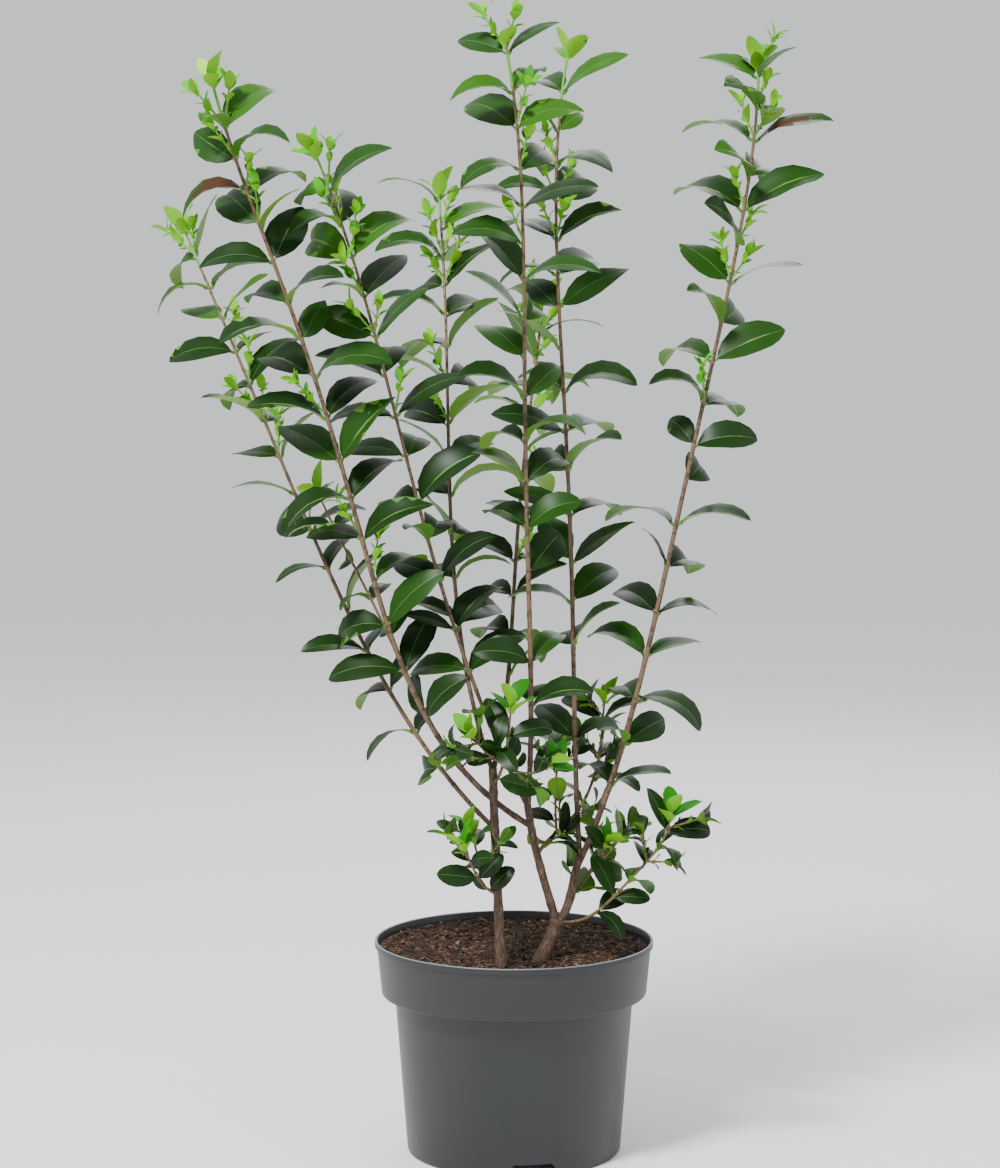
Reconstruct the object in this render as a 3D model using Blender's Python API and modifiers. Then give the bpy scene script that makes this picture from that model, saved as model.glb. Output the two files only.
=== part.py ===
"""Potted privet: an upright patio shrub of eight long leafy stems in a round plastic nursery pot.

Two trunks rise from the potting soil. The left one carries three stems. The right one forks into
two boughs, which carry three and two. Each long stem is bare low down, as a bough, and leafy from
there to its tip, as one mass of foliage. Five smaller masses grow from the trunks, low over the pot.

Frame: metres, +Z up, the origin on the ground at the centre of the pot, the broad side facing -Y.
"""

import math
from dataclasses import dataclass

import bmesh
import bpy
import numpy as np
from mathutils import Matrix

# Pot, turned round Z
POT_HEIGHT = 0.215
RIM_RADIUS = 0.140
LIP_HEIGHT = 0.006
COLLAR_TOP_RADIUS = 0.1378
COLLAR_BOTTOM_RADIUS = 0.1332
COLLAR_BOTTOM = 0.161
BODY_TOP_RADIUS = 0.120
BODY_BOTTOM_RADIUS = 0.1075
WALL = 0.0018
EDGE_ROUND = 0.003
FLOOR_UNDERSIDE = 0.013
FOOT_RING = 0.005
PAD_RADIUS = 0.012
POT_STEPS = 32

# Arches in the foot ring, where water runs out
ARCH_COUNT = 3
ARCH_WIDTH = 0.050
ARCH_HEIGHT = 0.0125
ARCH_TURN = math.radians(9.7)

# Potting soil, which fills the pot to just under its rim
SOIL_TOP = 0.207
SEAT_GAP = 0.0003

# How near two points of a curve's caps are welded
WELD = 0.000001

# Trunks and boughs: the points that each runs smoothly through, and its radius at foot and tip
TRUNK_LEFT = [
    (-0.013, -0.094, SOIL_TOP), (-0.016, -0.091, 0.274), (-0.019, -0.088, 0.338), (-0.021, -0.084, 0.402)]
TRUNK_LEFT_RADII = (0.0047, 0.0042)
TRUNK_RIGHT = [
    (0.026, -0.063, SOIL_TOP), (0.033, -0.061, 0.221), (0.038, -0.059, 0.232), (0.043, -0.057, 0.246)]
TRUNK_RIGHT_RADII = (0.0062, 0.0066)
FORK_LEFT = [
    (0.042, -0.057, 0.243), (0.030, -0.057, 0.283), (0.020, -0.057, 0.322), (0.013, -0.057, 0.361)]
FORK_LEFT_RADII = (0.0043, 0.0037)
FORK_RIGHT = [
    (0.043, -0.056, 0.243), (0.054, -0.054, 0.264), (0.059, -0.052, 0.286), (0.065, -0.050, 0.308)]
FORK_RIGHT_RADII = (0.0046, 0.0041)
FLARE = 0.45
FLARE_HEIGHT = 0.012
TRUNK_SIDES = 8
BOUGH_SIDES = 6
STEM_SIDES = 4
TRUNK_STEP = 0.016

# Leaf blades: each edge as (how far along, half width), the keel as (how far along, depth), in shares
# of the length and of the width
ADULT_EDGE = [(0.28, 0.40), (0.66, 0.46)]
ADULT_KEEL = (0.24, 0.022)
ADULT_WIDTH = 0.46
YOUNG_EDGE = [(0.50, 0.50)]
YOUNG_KEEL = (0.34, 0.055)
YOUNG_WIDTH = 0.50

# How far a blade bends down from root to tip, in radians
ADULT_BENDS = (0.7, 1.1, 1.5)
YOUNG_BEND = 0.6

# In degrees: how far leaves rise from square to their stem, and roll their upper side to the front
LEAF_RISE = (34, 58)
LEAF_ROLL = (10, 72)
SHOOT_LEAF_RISE = (50, 70)
TWIG_LEAF_RISE = (36, 56)
TWIG_LEAF_ROLL = (-15, 45)

# Pairs of leaves: the leaves' lengths, how far up the stem one leaf of a pair sits over the other, and
# the angle at which a pair crosses the one below, less than square because leaves turn to the light
YOUNG_LEAF = 0.021
TIP_LEAF = 0.036
PAIR_STAGGER = 0.0015
CROSSING = math.radians(70)

# Side twigs: radius, height of the foot over its leaf, and leaf lengths from one pair to the next
TWIG_RADIUS = 0.0011
AXIL_RISE = 0.005
PAIR_SPACING = 1.15

# How close one leaf may come to another leaf or limb
LEAF_GAP = 0.0046
YOUNG_GAP = 0.0026
SOIL_CLEARANCE = 0.006
ROOT_STRETCH = 0.014
SAMPLE_STEP = 0.004

# What is tried in turn to find a leaf a clear place: degrees round the stem, and a share of its length
TURN_ASIDE = [
    (0, 1.0), (22, 1.0), (-22, 1.0), (0, 0.8), (44, 0.9), (-44, 0.9), (66, 0.8), (-66, 0.8), (0, 0.6)]


@dataclass
class Stem:
    """A leafy stem: its points from foot to tip, radii, bare length, leaves and side shoots."""

    points: list
    radii: tuple
    step: float = 0.050
    bare: float = 0.0
    leaf: float = 0.066
    spacing: float = 0.044
    facing: float = 40.0
    shoots: tuple = (-0.35, 0.75)
    shoot_length: tuple = (0.020, 0.044)
    shoot_leaf: float = YOUNG_LEAF
    shoot_turn: float = 25.0
    bright: bool = True


# The eight long stems, from left to right as the broad side shows them. Each first part is bare.
LONG_STEMS = {
    "far_left": Stem(
        [(-0.0195, -0.088, 0.343), (-0.113, -0.054, 0.457), (-0.200, -0.005, 0.623),
         (-0.277, 0.047, 0.798), (-0.334, 0.088, 0.926)],
        (0.0024, 0.0012), bare=0.060, leaf=0.070, facing=60.0),
    "left": Stem(
        [(0.0145, -0.057, 0.341), (-0.103, -0.070, 0.485), (-0.170, -0.091, 0.709),
         (-0.241, -0.112, 0.924), (-0.284, -0.130, 1.060)],
        (0.0030, 0.0014), bare=0.130, leaf=0.080, facing=52.0),
    "mid_left": Stem(
        [(0.014, -0.057, 0.357), (-0.047, -0.061, 0.502), (-0.101, -0.068, 0.688),
         (-0.148, -0.088, 0.872), (-0.190, -0.100, 0.995)],
        (0.0022, 0.0012), bare=0.130, leaf=0.075, facing=55.0),
    "centre_left": Stem(
        [(-0.021, -0.084, 0.398), (-0.052, -0.036, 0.520), (-0.065, 0.035, 0.680),
         (-0.070, 0.109, 0.847), (-0.078, 0.170, 0.965)],
        (0.0023, 0.0012), bare=0.085, leaf=0.075, facing=60.0),
    "rear": Stem(
        [(-0.021, -0.084, 0.398), (-0.005, -0.026, 0.497), (0.004, 0.058, 0.624),
         (0.019, 0.147, 0.756), (0.031, 0.215, 0.855)],
        (0.0024, 0.0013), bare=0.085, leaf=0.072, facing=50.0),
    "centre": Stem(
        [(0.013, -0.057, 0.357), (0.015, -0.066, 0.535), (0.010, -0.078, 0.754),
         (0.006, -0.090, 0.968), (-0.010, -0.100, 1.102)],
        (0.0028, 0.0013), bare=0.085, leaf=0.075, facing=56.0),
    "centre_right": Stem(
        [(0.065, -0.050, 0.304), (0.059, -0.025, 0.483), (0.052, 0.011, 0.712),
         (0.042, 0.049, 0.942), (0.054, 0.080, 1.100)],
        (0.0027, 0.0013), bare=0.100, leaf=0.075, facing=50.0),
    "right": Stem(
        [(0.065, -0.050, 0.304), (0.124, -0.031, 0.479), (0.177, -0.003, 0.708),
         (0.227, 0.026, 0.939), (0.243, 0.046, 1.088)],
        (0.0031, 0.0013), bare=0.060, leaf=0.080, facing=55.0),
}

# A thin side stem that the left stem carries
LEFT_SIDE_STEM = Stem(
    [(-0.108, -0.0715, 0.495), (-0.138, -0.058, 0.560), (-0.170, -0.040, 0.620), (-0.193, -0.022, 0.665)],
    (0.0015, 0.0010), step=0.020, bare=0.020, leaf=0.046, spacing=0.040, facing=60.0)

# The low masses near the pot: leaves are small and crowded there, on side twigs. Each mass is one
# stem from a trunk or fork, with the side stems that it carries.
LOW = dict(
    step=0.014, spacing=0.023, shoots=(0.6, 0.6), shoot_length=(0.018, 0.036), shoot_turn=50.0,
    bright=False)
LOW_STEMS = {
    "foot_left": [
        Stem(
            [(-0.0165, -0.090, 0.278), (-0.033, -0.106, 0.294), (-0.041, -0.120, 0.312),
             (-0.050, -0.128, 0.334)],
            (0.0015, 0.0009), leaf=0.040, shoot_leaf=0.034, facing=30.0, **LOW),
        Stem(
            [(-0.033, -0.106, 0.294), (-0.036, -0.098, 0.318), (-0.044, -0.092, 0.342)],
            (0.0011, 0.0009), leaf=0.038, shoot_leaf=0.032, facing=60.0, **LOW)],
    "low_left": [
        Stem(
            [(-0.0205, -0.085, 0.386), (-0.011, -0.099, 0.408), (-0.006, -0.105, 0.438),
             (-0.003, -0.107, 0.466)],
            (0.0017, 0.0009), leaf=0.048, shoot_leaf=0.040, facing=70.0, **LOW),
        Stem(
            [(-0.011, -0.099, 0.408), (-0.028, -0.110, 0.422), (-0.042, -0.118, 0.442)],
            (0.0012, 0.0009), leaf=0.042, shoot_leaf=0.034, facing=60.0, **LOW),
        Stem(
            [(-0.011, -0.099, 0.408), (0.006, -0.112, 0.402), (0.024, -0.120, 0.404), (0.036, -0.124, 0.414)],
            (0.0012, 0.0009), leaf=0.042, shoot_leaf=0.034, facing=20.0, **LOW)],
    "low_middle": [
        Stem(
            [(0.0235, -0.057, 0.312), (0.042, -0.038, 0.330), (0.061, -0.017, 0.345),
             (0.079, 0.002, 0.376), (0.089, 0.018, 0.430), (0.092, 0.024, 0.458)],
            (0.0019, 0.0010), leaf=0.050, shoot_leaf=0.040, facing=20.0, **LOW),
        Stem(
            [(0.042, -0.038, 0.330), (0.041, -0.026, 0.360), (0.043, -0.018, 0.394), (0.047, -0.014, 0.420)],
            (0.0013, 0.0009), leaf=0.044, shoot_leaf=0.036, facing=70.0, **LOW)],
    "foot_right": [
        Stem(
            [(0.0560, -0.053, 0.266), (0.073, -0.036, 0.286), (0.092, -0.014, 0.302), (0.108, 0.010, 0.318)],
            (0.0016, 0.0009), leaf=0.044, shoot_leaf=0.036, facing=80.0, **LOW),
        Stem(
            [(0.073, -0.036, 0.286), (0.081, -0.048, 0.304), (0.092, -0.058, 0.324)],
            (0.0012, 0.0009), leaf=0.040, shoot_leaf=0.034, facing=60.0, **LOW)],
    "low_right": [Stem(
        [(0.0450, -0.057, 0.2445), (0.078, -0.067, 0.254), (0.103, -0.076, 0.279),
         (0.134, -0.084, 0.315), (0.152, -0.088, 0.358)],
        (0.0017, 0.0009), bare=0.030, leaf=0.044, shoot_leaf=0.036, facing=10.0, **LOW)],
}

BARK = ("bark", "7A6250", 0.85)
PLASTIC = ("moulded_plastic", "3E4145", 0.45)
SOIL = ("potting_soil", "4A3325", 0.95)
FOLIAGE = ("foliage", "2E5426", 0.45)


def linear(hex_colour):
    """The linear RGBA of an sRGB hex colour."""
    channels = [int(hex_colour[i:i + 2], 16) / 255 for i in (0, 2, 4)]
    return [c / 12.92 if c <= 0.04045 else ((c + 0.055) / 1.055) ** 2.4 for c in channels] + [1.0]


def finish(item, look):
    """Gives an object its own Principled material and smooth shading with crisp edges."""
    name, colour, roughness = look
    material = bpy.data.materials.new(f"{item.name}_{name}")
    material.use_nodes = True
    shader = material.node_tree.nodes["Principled BSDF"]
    shader.inputs["Base Color"].default_value = linear(colour)
    shader.inputs["Roughness"].default_value = roughness
    shader.inputs["Metallic"].default_value = 0.0
    item.data.materials.clear()
    item.data.materials.append(material)
    item.data.shade_smooth()
    item.data.set_sharp_from_angle(angle=math.radians(35))


def add(name, mesh, collection):
    """A new object for a mesh, in a collection."""
    item = bpy.data.objects.new(name, mesh)
    collection.objects.link(item)
    return item


def new_collection(name):
    """A collection linked to the scene."""
    collection = bpy.data.collections.new(name)
    bpy.context.scene.collection.children.link(collection)
    return collection


def evaluated_mesh(item):
    """A new mesh with the object's modifiers applied."""
    bpy.context.view_layer.update()
    graph = bpy.context.evaluated_depsgraph_get()
    return bpy.data.meshes.new_from_object(item.evaluated_get(graph))


def turned(name, profile, steps, collection):
    """A profile of (radius, height) points, turned once round Z with a Screw modifier."""
    mesh = bpy.data.meshes.new(name)
    points = [(radius, 0.0, height) for radius, height in profile]
    mesh.from_pydata(points, [(i, i + 1) for i in range(len(points) - 1)], [])
    item = add(name, mesh, collection)
    screw = item.modifiers.new("turn", "SCREW")
    screw.axis = "Z"
    screw.angle = math.tau
    screw.steps = steps
    screw.render_steps = steps
    screw.use_merge_vertices = True
    screw.merge_threshold = 0.00005
    return item


def inner_profile(gap):
    """The pot's inside from the floor's centre to the top of the collar, set in by a gap."""
    floor = FLOOR_UNDERSIDE + WALL + gap
    inset = WALL + gap
    slope = (BODY_TOP_RADIUS - BODY_BOTTOM_RADIUS) / COLLAR_BOTTOM
    ledge = COLLAR_BOTTOM + inset
    return [
        (0.0, floor),
        (BODY_BOTTOM_RADIUS + slope * floor - inset, floor),
        (BODY_TOP_RADIUS - inset, ledge),
        (COLLAR_BOTTOM_RADIUS - inset, ledge + EDGE_ROUND),
        (COLLAR_TOP_RADIUS - inset, POT_HEIGHT - LIP_HEIGHT),
    ]


def make_pot(collection, cutters):
    """The thin-walled pot: collar and lip, tapered body, raised floor, foot ring and centre pad."""
    round_small = EDGE_ROUND / 2
    lip_bottom = POT_HEIGHT - LIP_HEIGHT
    foot_inner = BODY_BOTTOM_RADIUS - FOOT_RING
    profile = inner_profile(0.0) + [
        (RIM_RADIUS - WALL - round_small / 2, POT_HEIGHT - round_small / 3),
        (RIM_RADIUS - round_small, POT_HEIGHT),
        (RIM_RADIUS, POT_HEIGHT - round_small),
        (RIM_RADIUS, lip_bottom),
        (COLLAR_TOP_RADIUS, lip_bottom - round_small / 2),
        (COLLAR_BOTTOM_RADIUS, COLLAR_BOTTOM + EDGE_ROUND),
        (COLLAR_BOTTOM_RADIUS - round_small, COLLAR_BOTTOM + round_small / 4),
        (BODY_TOP_RADIUS + round_small, COLLAR_BOTTOM),
        (BODY_TOP_RADIUS, COLLAR_BOTTOM - EDGE_ROUND),
        (BODY_BOTTOM_RADIUS, 2 * EDGE_ROUND),
        (BODY_BOTTOM_RADIUS - round_small / 2, round_small),
        (BODY_BOTTOM_RADIUS - round_small, 0.0),
        (foot_inner, 0.0),
        (foot_inner, FLOOR_UNDERSIDE),
        (PAD_RADIUS, FLOOR_UNDERSIDE),
        (PAD_RADIUS, 0.0),
        (0.0, 0.0),
    ]
    pot = turned("pot", profile, POT_STEPS, collection)
    arches = new_collection("pot arches")
    cutters.children.link(arches)
    bpy.context.scene.collection.children.unlink(arches)
    for i in range(ARCH_COUNT):
        angle = ARCH_TURN + i * math.tau / ARCH_COUNT - math.pi / 2
        mesh = bpy.data.meshes.new("arch")
        box = bmesh.new()
        bmesh.ops.create_cube(box, size=1.0)
        size = Matrix.Diagonal((6 * FOOT_RING, ARCH_WIDTH, 2 * ARCH_HEIGHT, 1.0))
        place = Matrix.Rotation(angle, 4, "Z") @ Matrix.Translation((BODY_BOTTOM_RADIUS, 0.0, 0.0))
        bmesh.ops.transform(box, matrix=place @ size, verts=box.verts)
        box.to_mesh(mesh)
        box.free()
        arch = add(f"arch_{i + 1}", mesh, arches)
        arch.hide_render = True
        arch.display_type = "WIRE"
    cut = pot.modifiers.new("arches", "BOOLEAN")
    cut.operation = "DIFFERENCE"
    cut.operand_type = "COLLECTION"
    cut.collection = arches
    cut.solver = "EXACT"
    finish(pot, PLASTIC)


def make_soil(collection):
    """The potting soil, a turned plug that fills the pot up to SOIL_TOP."""
    walls = inner_profile(SEAT_GAP)
    (low_radius, low), (high_radius, high) = walls[3], walls[4]
    share = (SOIL_TOP - low) / (high - low)
    top_radius = low_radius + share * (high_radius - low_radius)
    profile = [(0.0, SOIL_TOP), (top_radius, SOIL_TOP)] + walls[3::-1]
    soil = turned("potting_soil", profile, POT_STEPS, collection)
    finish(soil, SOIL)


def along_line(line):
    """How far each point of a line lies along it."""
    return np.concatenate([[0.0], np.cumsum(np.linalg.norm(np.diff(line, axis=0), axis=1))])


def spread_evenly(line, runs, spacing):
    """Points at even distances, about a spacing apart, on a line whose points lie at runs."""
    even = np.linspace(0.0, runs[-1], max(2, math.ceil(runs[-1] / spacing) + 1))
    return np.stack([np.interp(even, runs, line[:, axis]) for axis in range(3)], axis=1)


class Path:
    """Straight steps along the one polynomial that passes through all of a limb's points."""

    SAMPLES = 400

    def __init__(self, points, step):
        points = np.array(points)
        chord = along_line(points)
        factors = np.linalg.solve(np.vander(chord / chord[-1], increasing=True), points)
        smooth = np.vander(np.linspace(0.0, 1.0, self.SAMPLES), len(points), increasing=True) @ factors
        self.line = spread_evenly(smooth, along_line(smooth), step)
        self.run = along_line(self.line)
        self.length = float(self.run[-1])

    def at(self, run):
        """The points at distances run along the path."""
        run = np.atleast_1d(run)
        return np.stack([np.interp(run, self.run, self.line[:, axis]) for axis in range(3)], axis=1)

    def tangent(self, run):
        """The unit direction of the path at one distance."""
        before, after = self.at([max(run - 0.002, 0.0), min(run + 0.002, self.length)])
        return (after - before) / np.linalg.norm(after - before)


class Limb:
    """A tapering length of trunk, bough or stem: a path, its radii, and where it starts and ends."""

    def __init__(self, points, radii, step, start=0.0, end=None, flare=0.0):
        self.path = Path(points, step)
        self.radii = radii
        self.start = start
        self.end = self.path.length if end is None else end
        self.flare = flare

    def radius(self, run):
        """Radius at a distance: an even taper, and a root flare that dies away above the foot."""
        run = np.asarray(run, dtype=float)
        even = self.radii[0] + (self.radii[1] - self.radii[0]) * run / self.path.length
        return even * (1.0 + self.flare * np.exp(-run / FLARE_HEIGHT))

    def stations(self, grow=0.0):
        """The points of the limb and the radius at each, made fatter and longer by grow."""
        knots = self.path.run
        between = knots[(knots > self.start + 0.002) & (knots < self.end - 0.002)]
        runs = np.array([self.start, *between, self.end])
        points = self.path.at(runs)
        points[0] -= grow * self.path.tangent(runs[0])
        points[-1] += grow * self.path.tangent(runs[-1])
        return points, self.radius(runs) + grow

    def filled(self, spacing):
        """Closely spaced points along the limb and the radius at each."""
        runs = np.linspace(self.start, self.end, math.ceil((self.end - self.start) / spacing) + 1)
        return self.path.at(runs), self.radius(runs)


def tube(name, limb, sides, collection, grow=0.0, level_foot=False):
    """A limb as a mesh, made from a curve with a round bevel and filled caps."""
    points, radii = limb.stations(grow)
    curve = bpy.data.curves.new(name, "CURVE")
    curve.dimensions = "3D"
    curve.bevel_depth = 1.0
    curve.bevel_resolution = (sides - 4) // 2
    curve.use_fill_caps = True
    spline = curve.splines.new("POLY")
    spline.points.add(len(points) - 1)
    for knot, point, radius in zip(spline.points, points, radii):
        knot.co = (*point, 1.0)
        knot.radius = radius
    drawn = add(name + " curve", curve, collection)
    mesh = evaluated_mesh(drawn)
    mesh.name = name
    welded = bmesh.new()
    welded.from_mesh(mesh)
    bmesh.ops.remove_doubles(welded, verts=welded.verts, dist=WELD)
    welded.to_mesh(mesh)
    welded.free()
    item = add(name, mesh, collection)
    item.matrix_world = drawn.matrix_world
    bpy.data.objects.remove(drawn)
    if level_foot:
        level(mesh, points[0][2] + SEAT_GAP, radii[0])
    return item


def level(mesh, height, reach):
    """Brings the points of a limb's foot to one height, which makes its flat cut on the soil."""
    for vertex in mesh.vertices:
        if vertex.co.z < height + reach:
            vertex.co.z = height


def apply_boolean(item, operation, others):
    """Cuts or joins an object with all the objects of a collection at once, then removes them."""
    modifier = item.modifiers.new(operation, "BOOLEAN")
    modifier.operation = operation
    modifier.operand_type = "COLLECTION"
    modifier.collection = others
    modifier.solver = "EXACT"
    mesh = evaluated_mesh(item)
    item.modifiers.clear()
    item.data = mesh
    for piece in list(others.objects):
        bpy.data.objects.remove(piece)
    bpy.data.collections.remove(others)


def cut_clear(item, neighbours):
    """Cuts an object back from its neighbours, each made a little fatter to leave the seat gap."""
    cutters = new_collection(item.name + " cutters")
    for i, (neighbour, sides) in enumerate(neighbours):
        tube(f"{item.name}_cutter_{i}", neighbour, sides, cutters, grow=SEAT_GAP)
    apply_boolean(item, "DIFFERENCE", cutters)


class Space:
    """What limbs and leaves already fill: points with a radius round each."""

    def __init__(self):
        self.points = np.empty((0, 3))
        self.radii = np.empty(0)

    def take(self, points, radii):
        """Marks points as filled."""
        self.points = np.vstack([self.points, points])
        self.radii = np.concatenate([self.radii, np.broadcast_to(radii, len(points))])

    def is_clear(self, points, gap):
        """Whether no point comes nearer than a gap to what is filled, nor to the soil and pot."""
        reach = gap + 0.01
        over = self.points > points.min(axis=0) - reach
        under = self.points < points.max(axis=0) + reach
        inside = np.all(over & under, axis=1)
        across = np.hypot(points[:, 0], points[:, 1])
        over_pot = np.where(across < COLLAR_BOTTOM_RADIUS - 2 * SOIL_CLEARANCE, SOIL_TOP, POT_HEIGHT)
        if np.any(points[:, 2] < over_pot + SOIL_CLEARANCE):
            return False
        if not inside.any():
            return True
        apart = np.linalg.norm(points[:, None] - self.points[inside][None], axis=2) - self.radii[inside]
        return apart.min() > gap


@dataclass
class Leaf:
    """A leaf by its root, axis, upper side, length, width and bend, and whether it is young."""

    root: np.ndarray
    along: np.ndarray
    up: np.ndarray
    length: float
    width: float
    bend: float
    young: bool

    def centre(self, share):
        """The midrib: an arc that leaves the root along the axis and bends down by bend radians."""
        turn = self.bend * np.asarray(share)[:, None]
        arc = self.along * np.sin(turn) - self.up * (1.0 - np.cos(turn))
        return self.root + arc * self.length / self.bend

    def sample(self):
        """Points all over the blade, apart from the stretch next to the stem."""
        share = np.linspace(min(0.3, ROOT_STRETCH / self.length), 1.0, 14)
        midrib = self.centre(share)
        across = np.cross(self.up, self.along) * self.width / 2
        spread = np.sin(np.pi * share ** 1.2)[:, None]
        return np.vstack([midrib + across * spread * side for side in np.linspace(-1.0, 1.0, 9)])


def direction(tangent, facing, rise, roll=0.0):
    """The axis and upper side of a leaf on a stem that points along tangent.

    Facing 0 looks to -Y and 90 degrees to +X, rise counts from square to the stem, and roll turns
    the upper side about the axis towards -Y.
    """
    front = np.array([0.0, -1.0, 0.0])
    front = front - tangent * (front @ tangent)
    front /= np.linalg.norm(front)
    right = np.cross(tangent, front)
    right *= 1.0 if right[0] > 0 else -1.0
    out = front * math.cos(facing) + right * math.sin(facing)
    along = out * math.cos(rise) + tangent * math.sin(rise)
    flat = tangent * math.cos(rise) - out * math.sin(rise)
    side = np.cross(flat, along)
    side *= 1.0 if side[1] < 0 else -1.0
    return along, flat * math.cos(roll) + side * math.sin(roll)


def place_leaf(root, tangent, angles, size, bend, young, space):
    """Turns a leaf aside, or makes it shorter, until it is clear. Without a clear place it is skipped."""
    gap = YOUNG_GAP if young else LEAF_GAP
    facing, rise, roll = angles
    length, width = size
    for aside, shorter in TURN_ASIDE:
        along, up = direction(tangent, facing + math.radians(aside), rise, roll)
        leaf = Leaf(root, along, up, length * shorter, width * shorter, bend, young)
        points = leaf.sample()
        if space.is_clear(points, gap):
            space.take(points, 0.0)
            return [leaf]
    return []


def grow_twig(root, along, length, leaf_length, young, rng, space):
    """A straight side twig with crossed pairs of leaves, and its leaves. Empty if it has no room."""
    runs = np.linspace(0.35, 1.0, 6)[:, None] * length
    points = root + along * runs
    if not space.is_clear(points, YOUNG_GAP):
        return [], []
    leaves = []
    pairs = max(1, round(length / PAIR_SPACING / leaf_length))
    for k in range(pairs):
        run = length * (k + 1) / pairs - PAIR_STAGGER
        facing = (k % 2) * math.pi / 2 + rng.uniform(-0.3, 0.3)
        size = leaf_length * rng.uniform(0.8, 1.1) * (1.0 - 0.25 * k / pairs)
        rise = math.radians(rng.uniform(*(SHOOT_LEAF_RISE if young else TWIG_LEAF_RISE)))
        roll = math.radians(rng.uniform(*TWIG_LEAF_ROLL))
        bend = YOUNG_BEND if young else ADULT_BENDS[rng.integers(len(ADULT_BENDS))]
        width = size * (YOUNG_WIDTH if young else ADULT_WIDTH)
        for turn in (0.0, math.pi):
            angles = (facing + turn, rise, roll)
            leaves += place_leaf(root + along * run, along, angles, (size, width), bend, young, space)
            run -= PAIR_STAGGER
    space.take(points, TWIG_RADIUS)
    return [(root, along, length)], leaves


def grow(stem, rng, space):
    """Crossed pairs of leaves up a stem, side shoots in their axils, and young leaves at the tip."""
    path = Path(stem.points, stem.step)
    twigs, leaves = [], []
    run = stem.bare + 0.4 * stem.spacing
    facing = math.radians(stem.facing)
    crossing = CROSSING
    tip_reach = 0.35 * TIP_LEAF
    while run < path.length - tip_reach:
        share = run / path.length
        root, tangent = path.at(run)[0], path.tangent(run)
        tip_taper = 1.0 - 0.2 * max(0.0, (share - 0.88) / 0.12)
        for turn in (0.0, math.pi):
            size = stem.leaf * (0.88 + 0.24 * share) * tip_taper * rng.uniform(0.86, 1.12)
            rise = math.radians(rng.uniform(*LEAF_RISE))
            roll = math.radians(rng.uniform(*LEAF_ROLL))
            bend = ADULT_BENDS[rng.integers(len(ADULT_BENDS))]
            width = size * ADULT_WIDTH * rng.uniform(0.85, 1.15)
            shift = facing + turn + rng.uniform(-0.2, 0.2)
            shoot, shoot_length = rng.uniform(), rng.uniform(*stem.shoot_length)
            leaves += place_leaf(root, tangent, (shift, rise, roll), (size, width), bend, False, space)
            chance = stem.shoots[0] + (stem.shoots[1] - stem.shoots[0]) * share
            if shoot < chance:
                axil = path.at(run + AXIL_RISE)[0]
                along = direction(tangent, shift, math.radians(90 - stem.shoot_turn))[0]
                found = grow_twig(axil, along, shoot_length, stem.shoot_leaf, stem.bright, rng, space)
                twigs += found[0]
                leaves += found[1]
            root = path.at(run + PAIR_STAGGER)[0]
        facing += crossing + rng.uniform(-0.1, 0.1)
        crossing = math.pi - crossing
        run += stem.spacing * (1.1 - 0.35 * share) * rng.uniform(0.88, 1.12)
    for k in range(2):
        root, tangent = path.at(path.length - 0.002 - 0.006 * k)[0], path.tangent(path.length)
        for turn in (0.0, math.pi):
            length = TIP_LEAF * rng.uniform(0.8, 1.1)
            size = (length, length * YOUNG_WIDTH)
            angles = (facing + turn, math.radians(70 - 18 * k), 0.0)
            leaves += place_leaf(root, tangent, angles, size, YOUNG_BEND, True, space)
        facing += math.pi / 2
    return twigs, leaves


def leaf_mesh(name, edge, keel, bend):
    """A blade one unit long and wide, bent down along an arc, flat on top over one keel point.

    It has a root, pairs of edge points and a tip. Each height below the top is that of the chord
    between root and first edge points.
    """

    def on_arc(share):
        return math.sin(bend * share) / bend, (math.cos(bend * share) - 1.0) / bend

    shape = bmesh.new()
    root = shape.verts.new((0.0, 0.0, 0.0))
    tip_x, tip_z = on_arc(1.0)
    tip = shape.verts.new((tip_x, 0.0, tip_z))
    first_x, first_z = on_arc(edge[0][0])
    deep = keel[0] / edge[0][0]
    under = shape.verts.new((first_x * deep, 0.0, first_z * deep - keel[1]))
    right, left = root, root
    for share, half in edge:
        x, z = on_arc(share)
        new_right, new_left = shape.verts.new((x, -half, z)), shape.verts.new((x, half, z))
        behind = (root,) if right is root else (left, right)
        shape.faces.new((*behind, new_right, new_left))
        shape.faces.new((right, under, new_right))
        shape.faces.new((left, new_left, under))
        right, left = new_right, new_left
    shape.faces.new((right, tip, left))
    shape.faces.new((right, under, tip))
    shape.faces.new((left, tip, under))
    bmesh.ops.recalc_face_normals(shape, faces=shape.faces)
    mesh = bpy.data.meshes.new(name)
    shape.to_mesh(mesh)
    shape.free()
    return mesh


def twig_mesh():
    """A three-sided twig one unit long and of one unit radius, standing along +X."""
    shape = bmesh.new()
    bmesh.ops.create_cone(shape, cap_ends=True, segments=3, radius1=1.0, radius2=0.75, depth=1.0)
    place = Matrix.Rotation(math.pi / 2, 4, "Y") @ Matrix.Translation((0.0, 0.0, 0.5))
    bmesh.ops.transform(shape, matrix=place, verts=shape.verts)
    mesh = bpy.data.meshes.new("twig")
    shape.to_mesh(mesh)
    shape.free()
    return mesh


def basis(root, along, up):
    """The matrix that puts X along a leaf or twig, Z on its upper side, and its start at the root."""
    side = np.cross(up, along)
    columns = Matrix((along, side, up)).transposed().to_4x4()
    return Matrix.Translation(root) @ columns


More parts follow.
